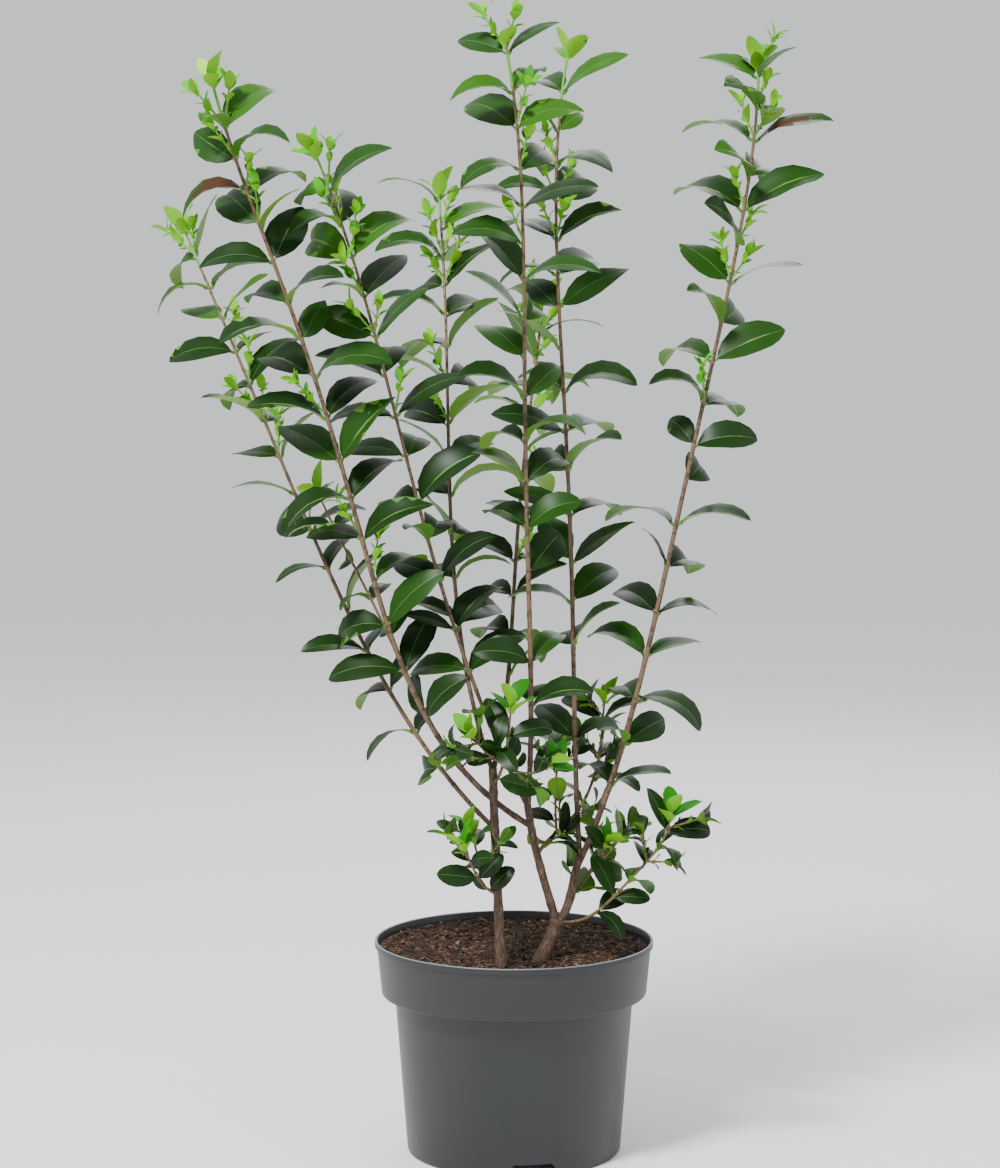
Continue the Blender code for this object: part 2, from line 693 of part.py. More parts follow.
def make_mass(name, stems, grown, shapes, neighbours, collection):
    """One mass of foliage: its stems, twigs and leaves joined into one solid.

    A mass with neighbours grows out of them and is cut back from them. The others stand on a bough.
    """
    pieces = new_collection(name + " pieces")
    main_stem = stems[0]
    foot = 0.0 if neighbours else main_stem.bare + SEAT_GAP
    leafy = Limb(main_stem.points, main_stem.radii, main_stem.step, start=foot)
    mass = tube(name, leafy, STEM_SIDES, collection)
    if neighbours:
        cut_clear(mass, neighbours)
    for i, stem in enumerate(stems[1:]):
        tube(f"{name}_side_{i}", Limb(stem.points, stem.radii, stem.step), STEM_SIDES, pieces)
    twigs, leaves = grown
    for i, (root, along, length) in enumerate(twigs):
        up = direction(along, 0.0, 0.0)[0]
        twig = add(f"{name}_twig_{i}", shapes["twig"], pieces)
        size = Matrix.Diagonal((length, TWIG_RADIUS, TWIG_RADIUS, 1.0))
        twig.matrix_world = basis(root, along, up) @ size
    for i, leaf in enumerate(leaves):
        blade = add(f"{name}_leaf_{i}", shapes["young" if leaf.young else leaf.bend], pieces)
        size = Matrix.Diagonal((leaf.length, leaf.width, leaf.length, 1.0))
        blade.matrix_world = basis(leaf.root, leaf.along, leaf.up) @ size
    apply_boolean(mass, "UNION", pieces)
    finish(mass, FOLIAGE)
    return mass


def main():
    """Builds the whole plant in its pot."""
    for item in list(bpy.data.objects):
        bpy.data.objects.remove(item)
    plant = new_collection("potted privet")
    cutters = new_collection("cutters")
    make_pot(plant, cutters)
    make_soil(plant)

    trunk_left = Limb(TRUNK_LEFT, TRUNK_LEFT_RADII, TRUNK_STEP, flare=FLARE)
    trunk_right = Limb(TRUNK_RIGHT, TRUNK_RIGHT_RADII, TRUNK_STEP, flare=FLARE)
    fork_left = Limb(FORK_LEFT, FORK_LEFT_RADII, TRUNK_STEP)
    fork_right = Limb(FORK_RIGHT, FORK_RIGHT_RADII, TRUNK_STEP)
    boughs = {
        name: Limb(stem.points, stem.radii, stem.step, end=stem.bare)
        for name, stem in LONG_STEMS.items()}

    for name, limb in (("trunk_left", trunk_left), ("trunk_right", trunk_right)):
        finish(tube(name, limb, TRUNK_SIDES, plant, level_foot=True), BARK)

    def thick(limb):
        return limb, TRUNK_SIDES

    def thin(name):
        return boughs[name], BOUGH_SIDES

    seats = {
        "fork_left": [thick(trunk_right)],
        "fork_right": [thick(trunk_right), thick(fork_left)],
        "far_left": [thick(trunk_left)],
        "centre_left": [thick(trunk_left)],
        "rear": [thick(trunk_left), thin("centre_left")],
        "centre": [thick(fork_left)],
        "left": [thick(fork_left), thin("centre")],
        "mid_left": [thick(fork_left), thin("centre"), thin("left")],
        "centre_right": [thick(fork_right)],
        "right": [thick(fork_right), thin("centre_right")],
        "foliage_foot_left": [thick(trunk_left)],
        "foliage_low_left": [thick(trunk_left)],
        "foliage_low_middle": [thick(fork_left)],
        "foliage_foot_right": [thick(fork_right)],
        "foliage_low_right": [thick(trunk_right), thick(fork_left), thick(fork_right)],
    }
    for name, limb in (("fork_left", fork_left), ("fork_right", fork_right)):
        bough = tube(f"bough_{name}", limb, TRUNK_SIDES, plant)
        cut_clear(bough, seats[name])
        finish(bough, BARK)
    for name, limb in boughs.items():
        bough = tube(f"bough_{name}", limb, BOUGH_SIDES, plant)
        cut_clear(bough, seats[name])
        finish(bough, BARK)

    masses = {f"foliage_{name}": [stem] for name, stem in LONG_STEMS.items()}
    masses["foliage_left"].append(LEFT_SIDE_STEM)
    masses.update({f"foliage_{name}": stems for name, stems in LOW_STEMS.items()})
    space = Space()
    for limb in (trunk_left, trunk_right, fork_left, fork_right):
        space.take(*limb.filled(SAMPLE_STEP))
    for stem in [stem for stems in masses.values() for stem in stems]:
        space.take(*Limb(stem.points, stem.radii, stem.step).filled(SAMPLE_STEP))

    shapes = {bend: leaf_mesh(f"leaf_{bend}", ADULT_EDGE, ADULT_KEEL, bend) for bend in ADULT_BENDS}
    shapes["young"] = leaf_mesh("young_leaf", YOUNG_EDGE, YOUNG_KEEL, YOUNG_BEND)
    shapes["twig"] = twig_mesh()
    for seed, (name, stems) in enumerate(masses.items(), start=1):
        rng = np.random.default_rng(seed)
        twigs, leaves = [], []
        for stem in stems:
            found = grow(stem, rng, space)
            twigs += found[0]
            leaves += found[1]
        make_mass(name, stems, (twigs, leaves), shapes, seats.get(name), plant)


main()
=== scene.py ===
"""Looks of the potted privet: a nursery pot, its potting soil, the bark and the leaves.

Metres, +Z up, the origin on the ground at the centre of the pot, the broad side facing -Y.
"""
import itertools
import math
from dataclasses import dataclass

import bmesh
import bpy
import numpy as np
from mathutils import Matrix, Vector


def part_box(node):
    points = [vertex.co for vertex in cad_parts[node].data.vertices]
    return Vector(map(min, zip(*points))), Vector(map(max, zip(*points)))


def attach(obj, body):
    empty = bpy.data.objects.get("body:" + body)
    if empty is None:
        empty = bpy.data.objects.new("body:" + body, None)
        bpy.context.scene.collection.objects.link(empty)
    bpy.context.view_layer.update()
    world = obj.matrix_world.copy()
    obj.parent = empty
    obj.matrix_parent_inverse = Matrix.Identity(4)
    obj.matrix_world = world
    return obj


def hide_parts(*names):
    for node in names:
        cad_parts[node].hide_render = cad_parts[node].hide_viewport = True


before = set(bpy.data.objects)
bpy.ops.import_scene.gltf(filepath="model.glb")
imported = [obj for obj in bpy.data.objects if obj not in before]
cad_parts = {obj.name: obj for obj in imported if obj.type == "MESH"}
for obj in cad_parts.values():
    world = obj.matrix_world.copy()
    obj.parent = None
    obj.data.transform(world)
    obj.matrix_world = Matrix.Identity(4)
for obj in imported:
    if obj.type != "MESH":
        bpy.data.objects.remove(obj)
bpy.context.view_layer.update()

# The pot is a round 28 cm nursery container, injection moulded in one piece from polypropylene
# coloured anthracite. A wide collar steps in to a tapered body, the floor is raised, and the pot
# stands on a foot ring in which arches let water out.
POT_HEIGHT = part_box("pot")[1][2]
RIM_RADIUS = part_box("pot")[1][0]
LIP_HEIGHT = 0.006
COLLAR_TOP_RADIUS = 0.1378
COLLAR_BOTTOM_RADIUS = 0.1332
COLLAR_BOTTOM = 0.161
BODY_TOP_RADIUS = 0.120
BODY_BOTTOM_RADIUS = 0.1075
WALL = 0.0018
FLOOR_UNDERSIDE = 0.013
FOOT_RING = 0.005
PAD_RADIUS = 0.012
POT_STEPS = 180
ARCHES = 3
ARCH_WIDTH = 0.050
ARCH_HEIGHT = 0.0125
ARCH_TURN = math.radians(9.7)


def softened(corners, steps=5):
    """A profile of (radius, height, cut) corners with each corner rounded.

    A corner P with a cut c becomes the curve (1-t)^2 A + 2t(1-t) P + t^2 B, where A and B lie the
    distance c from P towards the corners before and after it.
    """
    share = np.linspace(0.0, 1.0, steps)[:, None]
    points = []
    for k, (radius, height, cut) in enumerate(corners):
        corner = np.array([radius, height])
        if cut == 0.0:
            points.append(corner[None])
            continue
        before = np.array(corners[k - 1][:2]) - corner
        after = np.array(corners[k + 1][:2]) - corner
        start = corner + before * cut / np.linalg.norm(before)
        end = corner + after * cut / np.linalg.norm(after)
        points.append((1 - share) ** 2 * start + 2 * share * (1 - share) * corner + share ** 2 * end)
    return np.vstack(points)


def turned(profile, angles):
    """Carries a profile of (radius, height) round Z: x = r cos a, y = r sin a, z = height."""
    radius, height = profile[:, :1], profile[:, 1:]
    return np.stack([radius * np.cos(angles), radius * np.sin(angles), height + 0.0 * angles], axis=-1)


def grid_faces(rows, columns, first=0):
    """The quads of a grid of points whose columns close on themselves, each row after the one before."""
    row = np.arange(rows - 1)[:, None] * columns
    column = np.arange(columns)[None]
    beside = (column + 1) % columns
    corners = (row + column, row + columns + column, row + columns + beside, row + beside)
    return np.stack(corners, axis=-1).reshape(-1, 4) + first


def make_piece(name, points, faces, materials, indices=None, crease=40.0):
    """An object for points and faces: its doubled points welded, smooth but for creases, on the root."""
    mesh = bpy.data.meshes.new(name)
    mesh.from_pydata(np.asarray(points).reshape(-1, 3).tolist(), [], [list(face) for face in faces])
    for material in materials:
        mesh.materials.append(material)
    if indices is not None:
        mesh.polygons.foreach_set("material_index", np.asarray(indices, dtype=np.int32))
    welded = bmesh.new()
    welded.from_mesh(mesh)
    bmesh.ops.remove_doubles(welded, verts=welded.verts, dist=1e-7)
    welded.to_mesh(mesh)
    welded.free()
    mesh.shade_smooth()
    mesh.set_sharp_from_angle(angle=math.radians(crease))
    piece = bpy.data.objects.new(name, mesh)
    bpy.context.scene.collection.objects.link(piece)
    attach(piece, "root")
    return piece


def linear(hex_colour):
    """An sRGB hex colour as linear RGBA, each channel by the sRGB curve."""
    channels = [int(hex_colour[i:i + 2], 16) / 255 for i in (1, 3, 5)]
    return [c / 12.92 if c <= 0.04045 else ((c + 0.055) / 1.055) ** 2.4 for c in channels] + [1.0]


def new_material(name, colour, roughness, **sockets):
    """A Principled material from a hex colour, a roughness and other plain values by socket name."""
    material = bpy.data.materials.new(name)
    material.use_nodes = True
    shader = material.node_tree.nodes["Principled BSDF"]
    shader.inputs["Base Color"].default_value = linear(colour)
    shader.inputs["Roughness"].default_value = roughness
    for socket, value in sockets.items():
        shader.inputs[socket.replace("_", " ")].default_value = value
    return material


def add_node(material, kind, settings, inputs):
    """Adds a node: settings are its own attributes, and inputs are values or other nodes' outputs."""
    node = material.node_tree.nodes.new(kind)
    for name, value in settings.items():
        setattr(node, name, value)
    for name, value in inputs.items():
        if isinstance(value, bpy.types.NodeSocket):
            material.node_tree.links.new(value, node.inputs[name])
        else:
            node.inputs[name].default_value = value
    return node


def drive(material, socket, output):
    """Links an output to a socket of the material's Principled shader."""
    shader = material.node_tree.nodes["Principled BSDF"]
    material.node_tree.links.new(output, shader.inputs[socket])


# Polypropylene leaves the mould with a fine orange peel, drawn 1.5 mm coarse here so that it shows,
# and a satin gloss that handling has made uneven. The top of the lip is painted paler as a painted highlight,
# where the rounded lip catches the light.
polypropylene = new_material("moulded polypropylene", "#1F2124", 0.42, IOR=1.46)
place = add_node(polypropylene, "ShaderNodeTexCoord", {}, {})
cloud = add_node(polypropylene, "ShaderNodeTexNoise", {}, {
    "Vector": place.outputs["Object"], "Scale": 1 / 0.060, "Detail": 4.0})
shade = add_node(polypropylene, "ShaderNodeMix", {"data_type": "RGBA"}, {
    0: cloud.outputs["Fac"], 6: linear("#1C1E21"), 7: linear("#25272A")})
upright = add_node(polypropylene, "ShaderNodeSeparateXYZ", {}, {"Vector": place.outputs["Object"]})
# Painted highlight: over the last millimetre under the top of the lip the colour is mixed towards pale grey,
# standing in for the light the lip catches.
painted_lip_highlight = add_node(polypropylene, "ShaderNodeMapRange", {}, {
    "Value": upright.outputs["Z"], "From Min": POT_HEIGHT - 0.0011, "From Max": POT_HEIGHT - 0.0002,
    "To Max": 0.8})
edge = add_node(polypropylene, "ShaderNodeMix", {"data_type": "RGBA"}, {
    0: painted_lip_highlight.outputs[0], 6: shade.outputs[2], 7: linear("#85888C")})
drive(polypropylene, "Base Color", edge.outputs[2])
gloss = add_node(polypropylene, "ShaderNodeMapRange", {}, {
    "Value": cloud.outputs["Fac"], "To Min": 0.36, "To Max": 0.48})
drive(polypropylene, "Roughness", gloss.outputs[0])
peel = add_node(polypropylene, "ShaderNodeTexNoise", {}, {
    "Vector": place.outputs["Object"], "Scale": 1 / 0.0015, "Detail": 1.0})
relief = add_node(polypropylene, "ShaderNodeBump", {}, {
    "Height": peel.outputs["Fac"], "Strength": 0.25, "Distance": 0.00005})
drive(polypropylene, "Normal", relief.outputs["Normal"])

floor_top = FLOOR_UNDERSIDE + WALL
lip_bottom = POT_HEIGHT - LIP_HEIGHT
foot_inner = BODY_BOTTOM_RADIUS - FOOT_RING
body_slope = (BODY_TOP_RADIUS - BODY_BOTTOM_RADIUS) / COLLAR_BOTTOM
pot_profile = softened([
    (0.0, floor_top, 0.0),
    (BODY_BOTTOM_RADIUS + body_slope * floor_top - WALL, floor_top, 0.004),
    (BODY_TOP_RADIUS - WALL, COLLAR_BOTTOM + WALL, 0.001),
    (COLLAR_BOTTOM_RADIUS - WALL, COLLAR_BOTTOM + 2 * WALL, 0.003),
    (COLLAR_TOP_RADIUS - WALL, lip_bottom, 0.001),
    (RIM_RADIUS - WALL - 0.0006, POT_HEIGHT, 0.0009),
    (RIM_RADIUS, POT_HEIGHT, 0.0013),
    (RIM_RADIUS, lip_bottom, 0.0005),
    (COLLAR_TOP_RADIUS, lip_bottom - 0.0008, 0.0004),
    (COLLAR_BOTTOM_RADIUS, COLLAR_BOTTOM, 0.0022),
    (BODY_TOP_RADIUS, COLLAR_BOTTOM - 0.0006, 0.0014),
    (BODY_BOTTOM_RADIUS, 0.0, 0.0038),
    (foot_inner, 0.0, 0.0005),
    (foot_inner - 0.0004, FLOOR_UNDERSIDE, 0.0005),
    (PAD_RADIUS + 0.0008, FLOOR_UNDERSIDE, 0.0005),
    (PAD_RADIUS, 0.0, 0.0008),
    (0.0, 0.0, 0.0),
])
half_arch = math.asin(ARCH_WIDTH / 2 / BODY_BOTTOM_RADIUS)
pot_turns = np.arange(POT_STEPS) * math.tau / POT_STEPS
pot_points = turned(pot_profile, pot_turns + ARCH_TURN - math.pi / 2)
from_arch = np.abs((pot_turns + math.pi / ARCHES) % (math.tau / ARCHES) - math.pi / ARCHES)
lifted = np.clip((half_arch - from_arch) / (math.tau / POT_STEPS), 0.0, 1.0) * ARCH_HEIGHT
in_foot = pot_profile[:, 0] > foot_inner - 0.0005
pot_points[..., 2] = np.where(
    in_foot[:, None], np.maximum(pot_points[..., 2], lifted), pot_points[..., 2])
pot = make_piece("pot_shell", pot_points, grid_faces(*pot_points.shape[:2]), [polypropylene])
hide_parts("pot")


# The potting soil is milled bark, peat and coconut fibre, poured in and watered down to a rough
# face a little under the rim. The face and the plug under it are one piece, and loose chips and
# fibres lie on it.
SOIL_TOP = 0.207
SOIL_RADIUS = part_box("potting_soil")[1][0]
SOIL_RELIEF = 0.0028
CRUMB = 0.007
SOIL_RINGS = 110
SOIL_STEPS = 240
CHIPS = 1700
FIBRES = 3200
LATTICE = 32


def value_noise(points, cell, seed):
    """Value noise from -1 to 1: random heights on a cubic lattice, blended by 3t^2 - 2t^3 per axis."""
    lattice = np.random.default_rng(seed).uniform(-1.0, 1.0, (LATTICE,) * 3)
    low = np.floor(points / cell)
    blend = points / cell - low
    blend = blend * blend * (3.0 - 2.0 * blend)
    total = 0.0
    for corner in itertools.product((0, 1), repeat=3):
        weight = np.prod(np.where(corner, blend, 1.0 - blend), axis=-1)
        at = np.mod(low + corner, LATTICE).astype(int)
        total = total + weight * lattice[at[..., 0], at[..., 1], at[..., 2]]
    return total


def soil_height(x, y):
    """Height of the soil's face: three octaves of noise on SOIL_TOP, dying away at the pot's wall."""
    flat = np.stack([x, y, 0.0 * x], axis=-1)
    rough = sum(value_noise(flat, CRUMB / 2 ** k, 40 + k) / 1.6 ** k for k in range(3)) / 2
    edge = np.clip((SOIL_RADIUS - np.hypot(x, y)) / 0.006, 0.0, 1.0)
    return SOIL_TOP + SOIL_RELIEF * rough * edge


soil_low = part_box("potting_soil")[0][2]
soil_angles = np.arange(SOIL_STEPS) * math.tau / SOIL_STEPS
ring_radii = SOIL_RADIUS * np.linspace(0.0, 1.0, SOIL_RINGS)
soil_face = turned(np.stack([ring_radii, 0.0 * ring_radii], axis=1), soil_angles)
soil_face[..., 2] = soil_height(soil_face[..., 0], soil_face[..., 1])
seat = WALL + 0.0003
soil_plug = turned(np.array([
    (COLLAR_BOTTOM_RADIUS - seat, COLLAR_BOTTOM + seat + 0.003),
    (BODY_TOP_RADIUS - seat, COLLAR_BOTTOM + seat),
    (BODY_BOTTOM_RADIUS + body_slope * soil_low - seat, soil_low),
    (0.0, soil_low),
]), soil_angles)
soil_points = np.concatenate([soil_face, soil_plug])

# Moist peat is nearly black in its hollows and red-brown on its crumbs, and never shines.
peat = new_material("moist peat", "#4A3325", 0.95)
peat_place = add_node(peat, "ShaderNodeTexCoord", {}, {})
crumbs = add_node(peat, "ShaderNodeTexNoise", {}, {
    "Vector": peat_place.outputs["Object"], "Scale": 1 / 0.004, "Detail": 6.0, "Roughness": 0.7})
tint = add_node(peat, "ShaderNodeValToRGB", {}, {"Fac": crumbs.outputs["Fac"]})
tint.color_ramp.elements[0].position = 0.34
tint.color_ramp.elements[0].color = linear("#0C0704")
tint.color_ramp.elements[1].position = 0.68
tint.color_ramp.elements[1].color = linear("#4C331F")
middle = tint.color_ramp.elements.new(0.5)
middle.color = linear("#28180C")
drive(peat, "Base Color", tint.outputs["Color"])
crumbling = add_node(peat, "ShaderNodeBump", {}, {
    "Height": crumbs.outputs["Fac"], "Strength": 0.9, "Distance": 0.0012})
drive(peat, "Normal", crumbling.outputs["Normal"])
soil = make_piece("soil_surface", soil_points, grid_faces(*soil_points.shape[:2]), [peat], crease=180.0)
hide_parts("potting_soil")


def strewn(count, rng):
    """Random places on the soil's face, even over its area, and a random heading at each."""
    radius = (SOIL_RADIUS - 0.004) * np.sqrt(rng.uniform(0.0, 1.0, count))
    angle = rng.uniform(0.0, math.tau, count)
    return radius * np.cos(angle), radius * np.sin(angle), rng.uniform(0.0, math.tau, count)


def bark_chips(count, rng):
    """Flat six-sided chips: a unit box with shifted corners, sized, tilted, turned and laid down."""
    box = np.array(list(itertools.product((-0.5, 0.5), repeat=3)))
    size = np.stack([rng.uniform(0.0020, 0.0070, count), rng.uniform(0.0010, 0.0030, count),
                     rng.uniform(0.0006, 0.0016, count)], axis=1)
    corners = (box + rng.uniform(-0.16, 0.16, (count, 8, 3))) * size[:, None]
    x, y, heading = strewn(count, rng)
    tilt = rng.normal(0.0, 0.32, (count, 2))
    corners[..., 2] += corners[..., 0] * tilt[:, :1] + corners[..., 1] * tilt[:, 1:]
    turned_x = corners[..., 0] * np.cos(heading)[:, None] - corners[..., 1] * np.sin(heading)[:, None]
    turned_y = corners[..., 0] * np.sin(heading)[:, None] + corners[..., 1] * np.cos(heading)[:, None]
    lie = soil_height(x, y) + 0.3 * size[:, 2]
    points = np.stack([turned_x + x[:, None], turned_y + y[:, None], corners[..., 2] + lie[:, None]], axis=-1)
    sides = np.array([(0, 1, 3, 2), (4, 6, 7, 5), (0, 4, 5, 1), (2, 3, 7, 6), (0, 2, 6, 4), (1, 5, 7, 3)])
    faces = (sides[None] + 8 * np.arange(count)[:, None, None]).reshape(-1, 4)
    return points.reshape(-1, 3), faces, len(sides)


def coir_fibres(count, rng):
    """Three-sided fibres: their middle line follows a circle's arc over the soil and thins to its ends."""
    share = np.linspace(-0.5, 0.5, 5)
    length = rng.uniform(0.005, 0.016, count)[:, None]
    curl = rng.normal(0.0, 1.3, count)[:, None]
    x, y, heading = strewn(count, rng)
    turn = heading[:, None] + curl * share
    line_x = x[:, None] + length * share * np.cos(turn)
    line_y = y[:, None] + length * share * np.sin(turn)
    thick = rng.uniform(0.00018, 0.00042, count)[:, None] * (1.0 - 8.0 * np.abs(share) ** 3)
    lean = rng.normal(0.0, 0.18, count)[:, None] * length * share
    lie = soil_height(line_x, line_y) + thick + rng.uniform(0.0, 0.0014, count)[:, None] + lean
    around = -np.arange(3) * math.tau / 3
    across = np.stack([-np.sin(turn), np.cos(turn), 0.0 * turn], axis=-1)
    middle_line = np.stack([line_x, line_y, lie], axis=-1)
    ring = across[:, :, None] * np.cos(around)[:, None] + np.array([0.0, 0.0, 1.0]) * np.sin(around)[:, None]
    points = middle_line[:, :, None] + ring * thick[..., None, None]
    sides = grid_faces(5, 3)
    faces = (sides[None] + 15 * np.arange(count)[:, None, None]).reshape(-1, 4)
    return points.reshape(-1, 3), faces, len(sides)


SOIL_BITS = {
    "dark humus": "#150C07", "brown bark": "#382316", "red bark": "#50301D", "pale wood": "#86664A"}
bit_materials = [new_material(name, colour, 0.9) for name, colour in SOIL_BITS.items()]
bit_rng = np.random.default_rng(70)
for name, laid, count, weights in (
        ("bark_chips", bark_chips, CHIPS, (0.42, 0.32, 0.20, 0.06)),
        ("coir_fibres", coir_fibres, FIBRES, (0.22, 0.30, 0.22, 0.26))):
    points, faces, per_bit = laid(count, bit_rng)
    kinds = np.repeat(bit_rng.choice(len(SOIL_BITS), count, p=weights), per_bit)
    bits = make_piece(name, points, faces, bit_materials, kinds)
    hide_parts("potting_soil")


# Two trunks rise from the soil. The left one carries three stems, and the right one forks into two
# boughs that carry three and two. Their bark is grey-brown, thin and smooth, with a little relief,
# pale lenticels and swollen nodes where leaves once stood.
TRUNK_LEFT = [
    (-0.013, -0.094, SOIL_TOP), (-0.016, -0.091, 0.274), (-0.019, -0.088, 0.338), (-0.021, -0.084, 0.402)]
TRUNK_RIGHT = [
    (0.026, -0.063, SOIL_TOP), (0.033, -0.061, 0.221), (0.038, -0.059, 0.232), (0.043, -0.057, 0.246)]
FORK_LEFT = [
    (0.042, -0.057, 0.243), (0.030, -0.057, 0.283), (0.020, -0.057, 0.322), (0.013, -0.057, 0.361)]
FORK_RIGHT = [
    (0.043, -0.056, 0.243), (0.054, -0.054, 0.264), (0.059, -0.052, 0.286), (0.065, -0.050, 0.308)]
TRUNK_STEP = 0.016
BARK_STEP = 0.0015
BARK_RELIEF = 0.05
BARK_SIDES = 16
STEM_SIDES = 10
OLD_NODES = 0.038
NODE_LENGTH = 0.0028
NODE_SWELLING = 0.14


@dataclass
class Stem:
    """A leafy stem: its points from foot to tip, radii, bare length, leaves and side shoots."""

    points: list
    radii: tuple
    step: float = 0.050
    bare: float = 0.0
    leaf: float = 0.066
    spacing: float = 0.044
    facing: float = 40.0
    shoots: tuple = (-0.35, 0.75)
    shoot_length: tuple = (0.020, 0.044)
    shoot_leaf: float = 0.021
    shoot_turn: float = 25.0
    bright: bool = True


LONG_STEMS = {
    "far_left": Stem(
        [(-0.0195, -0.088, 0.343), (-0.113, -0.054, 0.457), (-0.200, -0.005, 0.623),
         (-0.277, 0.047, 0.798), (-0.334, 0.088, 0.926)],
        (0.0024, 0.0012), bare=0.060, leaf=0.070, facing=60.0),
    "left": Stem(
        [(0.0145, -0.057, 0.341), (-0.103, -0.070, 0.485), (-0.170, -0.091, 0.709),
         (-0.241, -0.112, 0.924), (-0.284, -0.130, 1.060)],
        (0.0030, 0.0014), bare=0.130, leaf=0.080, facing=52.0),
    "mid_left": Stem(
        [(0.014, -0.057, 0.357), (-0.047, -0.061, 0.502), (-0.101, -0.068, 0.688),
         (-0.148, -0.088, 0.872), (-0.190, -0.100, 0.995)],
        (0.0022, 0.0012), bare=0.130, leaf=0.075, facing=55.0),
    "centre_left": Stem(
        [(-0.021, -0.084, 0.398), (-0.052, -0.036, 0.520), (-0.065, 0.035, 0.680),
         (-0.070, 0.109, 0.847), (-0.078, 0.170, 0.965)],
        (0.0023, 0.0012), bare=0.085, leaf=0.075, facing=60.0),
    "rear": Stem(
        [(-0.021, -0.084, 0.398), (-0.005, -0.026, 0.497), (0.004, 0.058, 0.624),
         (0.019, 0.147, 0.756), (0.031, 0.215, 0.855)],
        (0.0024, 0.0013), bare=0.085, leaf=0.072, facing=50.0),
    "centre": Stem(
        [(0.013, -0.057, 0.357), (0.015, -0.066, 0.535), (0.010, -0.078, 0.754),
         (0.006, -0.090, 0.968), (-0.010, -0.100, 1.102)],
        (0.0028, 0.0013), bare=0.085, leaf=0.075, facing=56.0),
    "centre_right": Stem(
        [(0.065, -0.050, 0.304), (0.059, -0.025, 0.483), (0.052, 0.011, 0.712),
         (0.042, 0.049, 0.942), (0.054, 0.080, 1.100)],
        (0.0027, 0.0013), bare=0.100, leaf=0.075, facing=50.0),
    "right": Stem(
        [(0.065, -0.050, 0.304), (0.124, -0.031, 0.479), (0.177, -0.003, 0.708),
         (0.227, 0.026, 0.939), (0.243, 0.046, 1.088)],
        (0.0031, 0.0013), bare=0.060, leaf=0.080, facing=55.0),
}


def along_line(line):
    """How far each point of a line lies along it."""
    return np.concatenate([[0.0], np.cumsum(np.linalg.norm(np.diff(line, axis=0), axis=1))])


class Path:
    """Straight steps along the one polynomial that passes through all of a limb's points."""

    def __init__(self, points, step):
        points = np.array(points)
        chord = along_line(points)
        factors = np.linalg.solve(np.vander(chord / chord[-1], increasing=True), points)
        smooth = np.vander(np.linspace(0.0, 1.0, 400), len(points), increasing=True) @ factors
        runs = along_line(smooth)
        even = np.linspace(0.0, runs[-1], max(2, math.ceil(runs[-1] / step) + 1))
        self.line = np.stack([np.interp(even, runs, smooth[:, axis]) for axis in range(3)], axis=1)
        self.run = along_line(self.line)
        self.length = float(self.run[-1])

    def at(self, run):
        """The points at distances run along the path."""
        run = np.atleast_1d(run)
        return np.stack([np.interp(run, self.run, self.line[:, axis]) for axis in range(3)], axis=1)

    def tangent(self, run):
        """The unit direction of the path at one distance."""
        before, after = self.at([max(run - 0.002, 0.0), min(run + 0.002, self.length)])
        return (after - before) / np.linalg.norm(after - before)


def tubes(lines, radii, sides):
    """Tubes of one make along lines of points: P + r (A cos a + B sin a), closed to a point at each end.

    A and B are square to the line, and A keeps clear of the front, -Y. Radii may differ round the tube.
    """
    along = np.gradient(lines, axis=-2)
    along /= np.linalg.norm(along, axis=-1, keepdims=True)
    across = np.cross(along, (0.0, -1.0, 0.0))
    across /= np.linalg.norm(across, axis=-1, keepdims=True)
    front = np.cross(across, along)
    angles = np.arange(sides) * math.tau / sides
    ring = across[..., None, :] * np.cos(angles)[:, None] + front[..., None, :] * np.sin(angles)[:, None]
    radii = radii[..., None] if radii.ndim < lines.ndim else radii
    points = lines[..., None, :] + ring * radii[..., None]
    ends = np.broadcast_to(lines[..., None, :], points.shape)
    return np.concatenate([ends[..., :1, :, :], points, ends[..., -1:, :, :]], axis=-3)


def repeated_faces(points):
    """The quads of equal closed grids, for points shaped (how many, rows, columns, 3)."""
    count, rows, columns = points.shape[:3]
    faces = grid_faces(rows, columns)
    return (faces[None] + rows * columns * np.arange(count)[:, None, None]).reshape(-1, 4)


def swollen(runs, nodes):
    """A factor on a stem's radius: 1 + k e^(-(d/l)^2) for the distance d to the nearest node."""
    nearest = np.abs(np.asarray(runs)[:, None] - np.asarray(nodes)[None]).min(axis=1)
    return 1.0 + NODE_SWELLING * np.exp(-(nearest / NODE_LENGTH) ** 2)


def stem_tube(points, radii, sides, nodes, start=0.0, end=None, flare=0.0, relief=BARK_RELIEF):
    """A stretch of one limb: an even taper, swollen at its nodes, flared at its foot, a little uneven."""
    path = Path(points, BARK_STEP)
    end = path.length if end is None else end
    runs = np.linspace(start, end, max(3, math.ceil((end - start) / (2 * BARK_STEP)) + 1))
    even = radii[0] + (radii[1] - radii[0]) * np.clip(runs / path.length, 0.0, 1.0)
    even = even * swollen(runs, nodes) * (1.0 + flare * np.exp(-np.maximum(runs, 0.0) / 0.012))
    line = path.at(runs) + np.minimum(runs, 0.0)[:, None] * path.tangent(0.0)
    angles = np.arange(sides) * math.tau / sides
    skin = np.stack(np.broadcast_arrays(
        np.cos(angles) * even[:, None], np.sin(angles) * even[:, None], runs[:, None] * 0.35), axis=-1)
    uneven = value_noise(skin, 0.0022, 61) + 0.6 * value_noise(skin, 0.0008, 62)
    return tubes(line[None], (even[:, None] * (1.0 + relief * uneven))[None], sides)


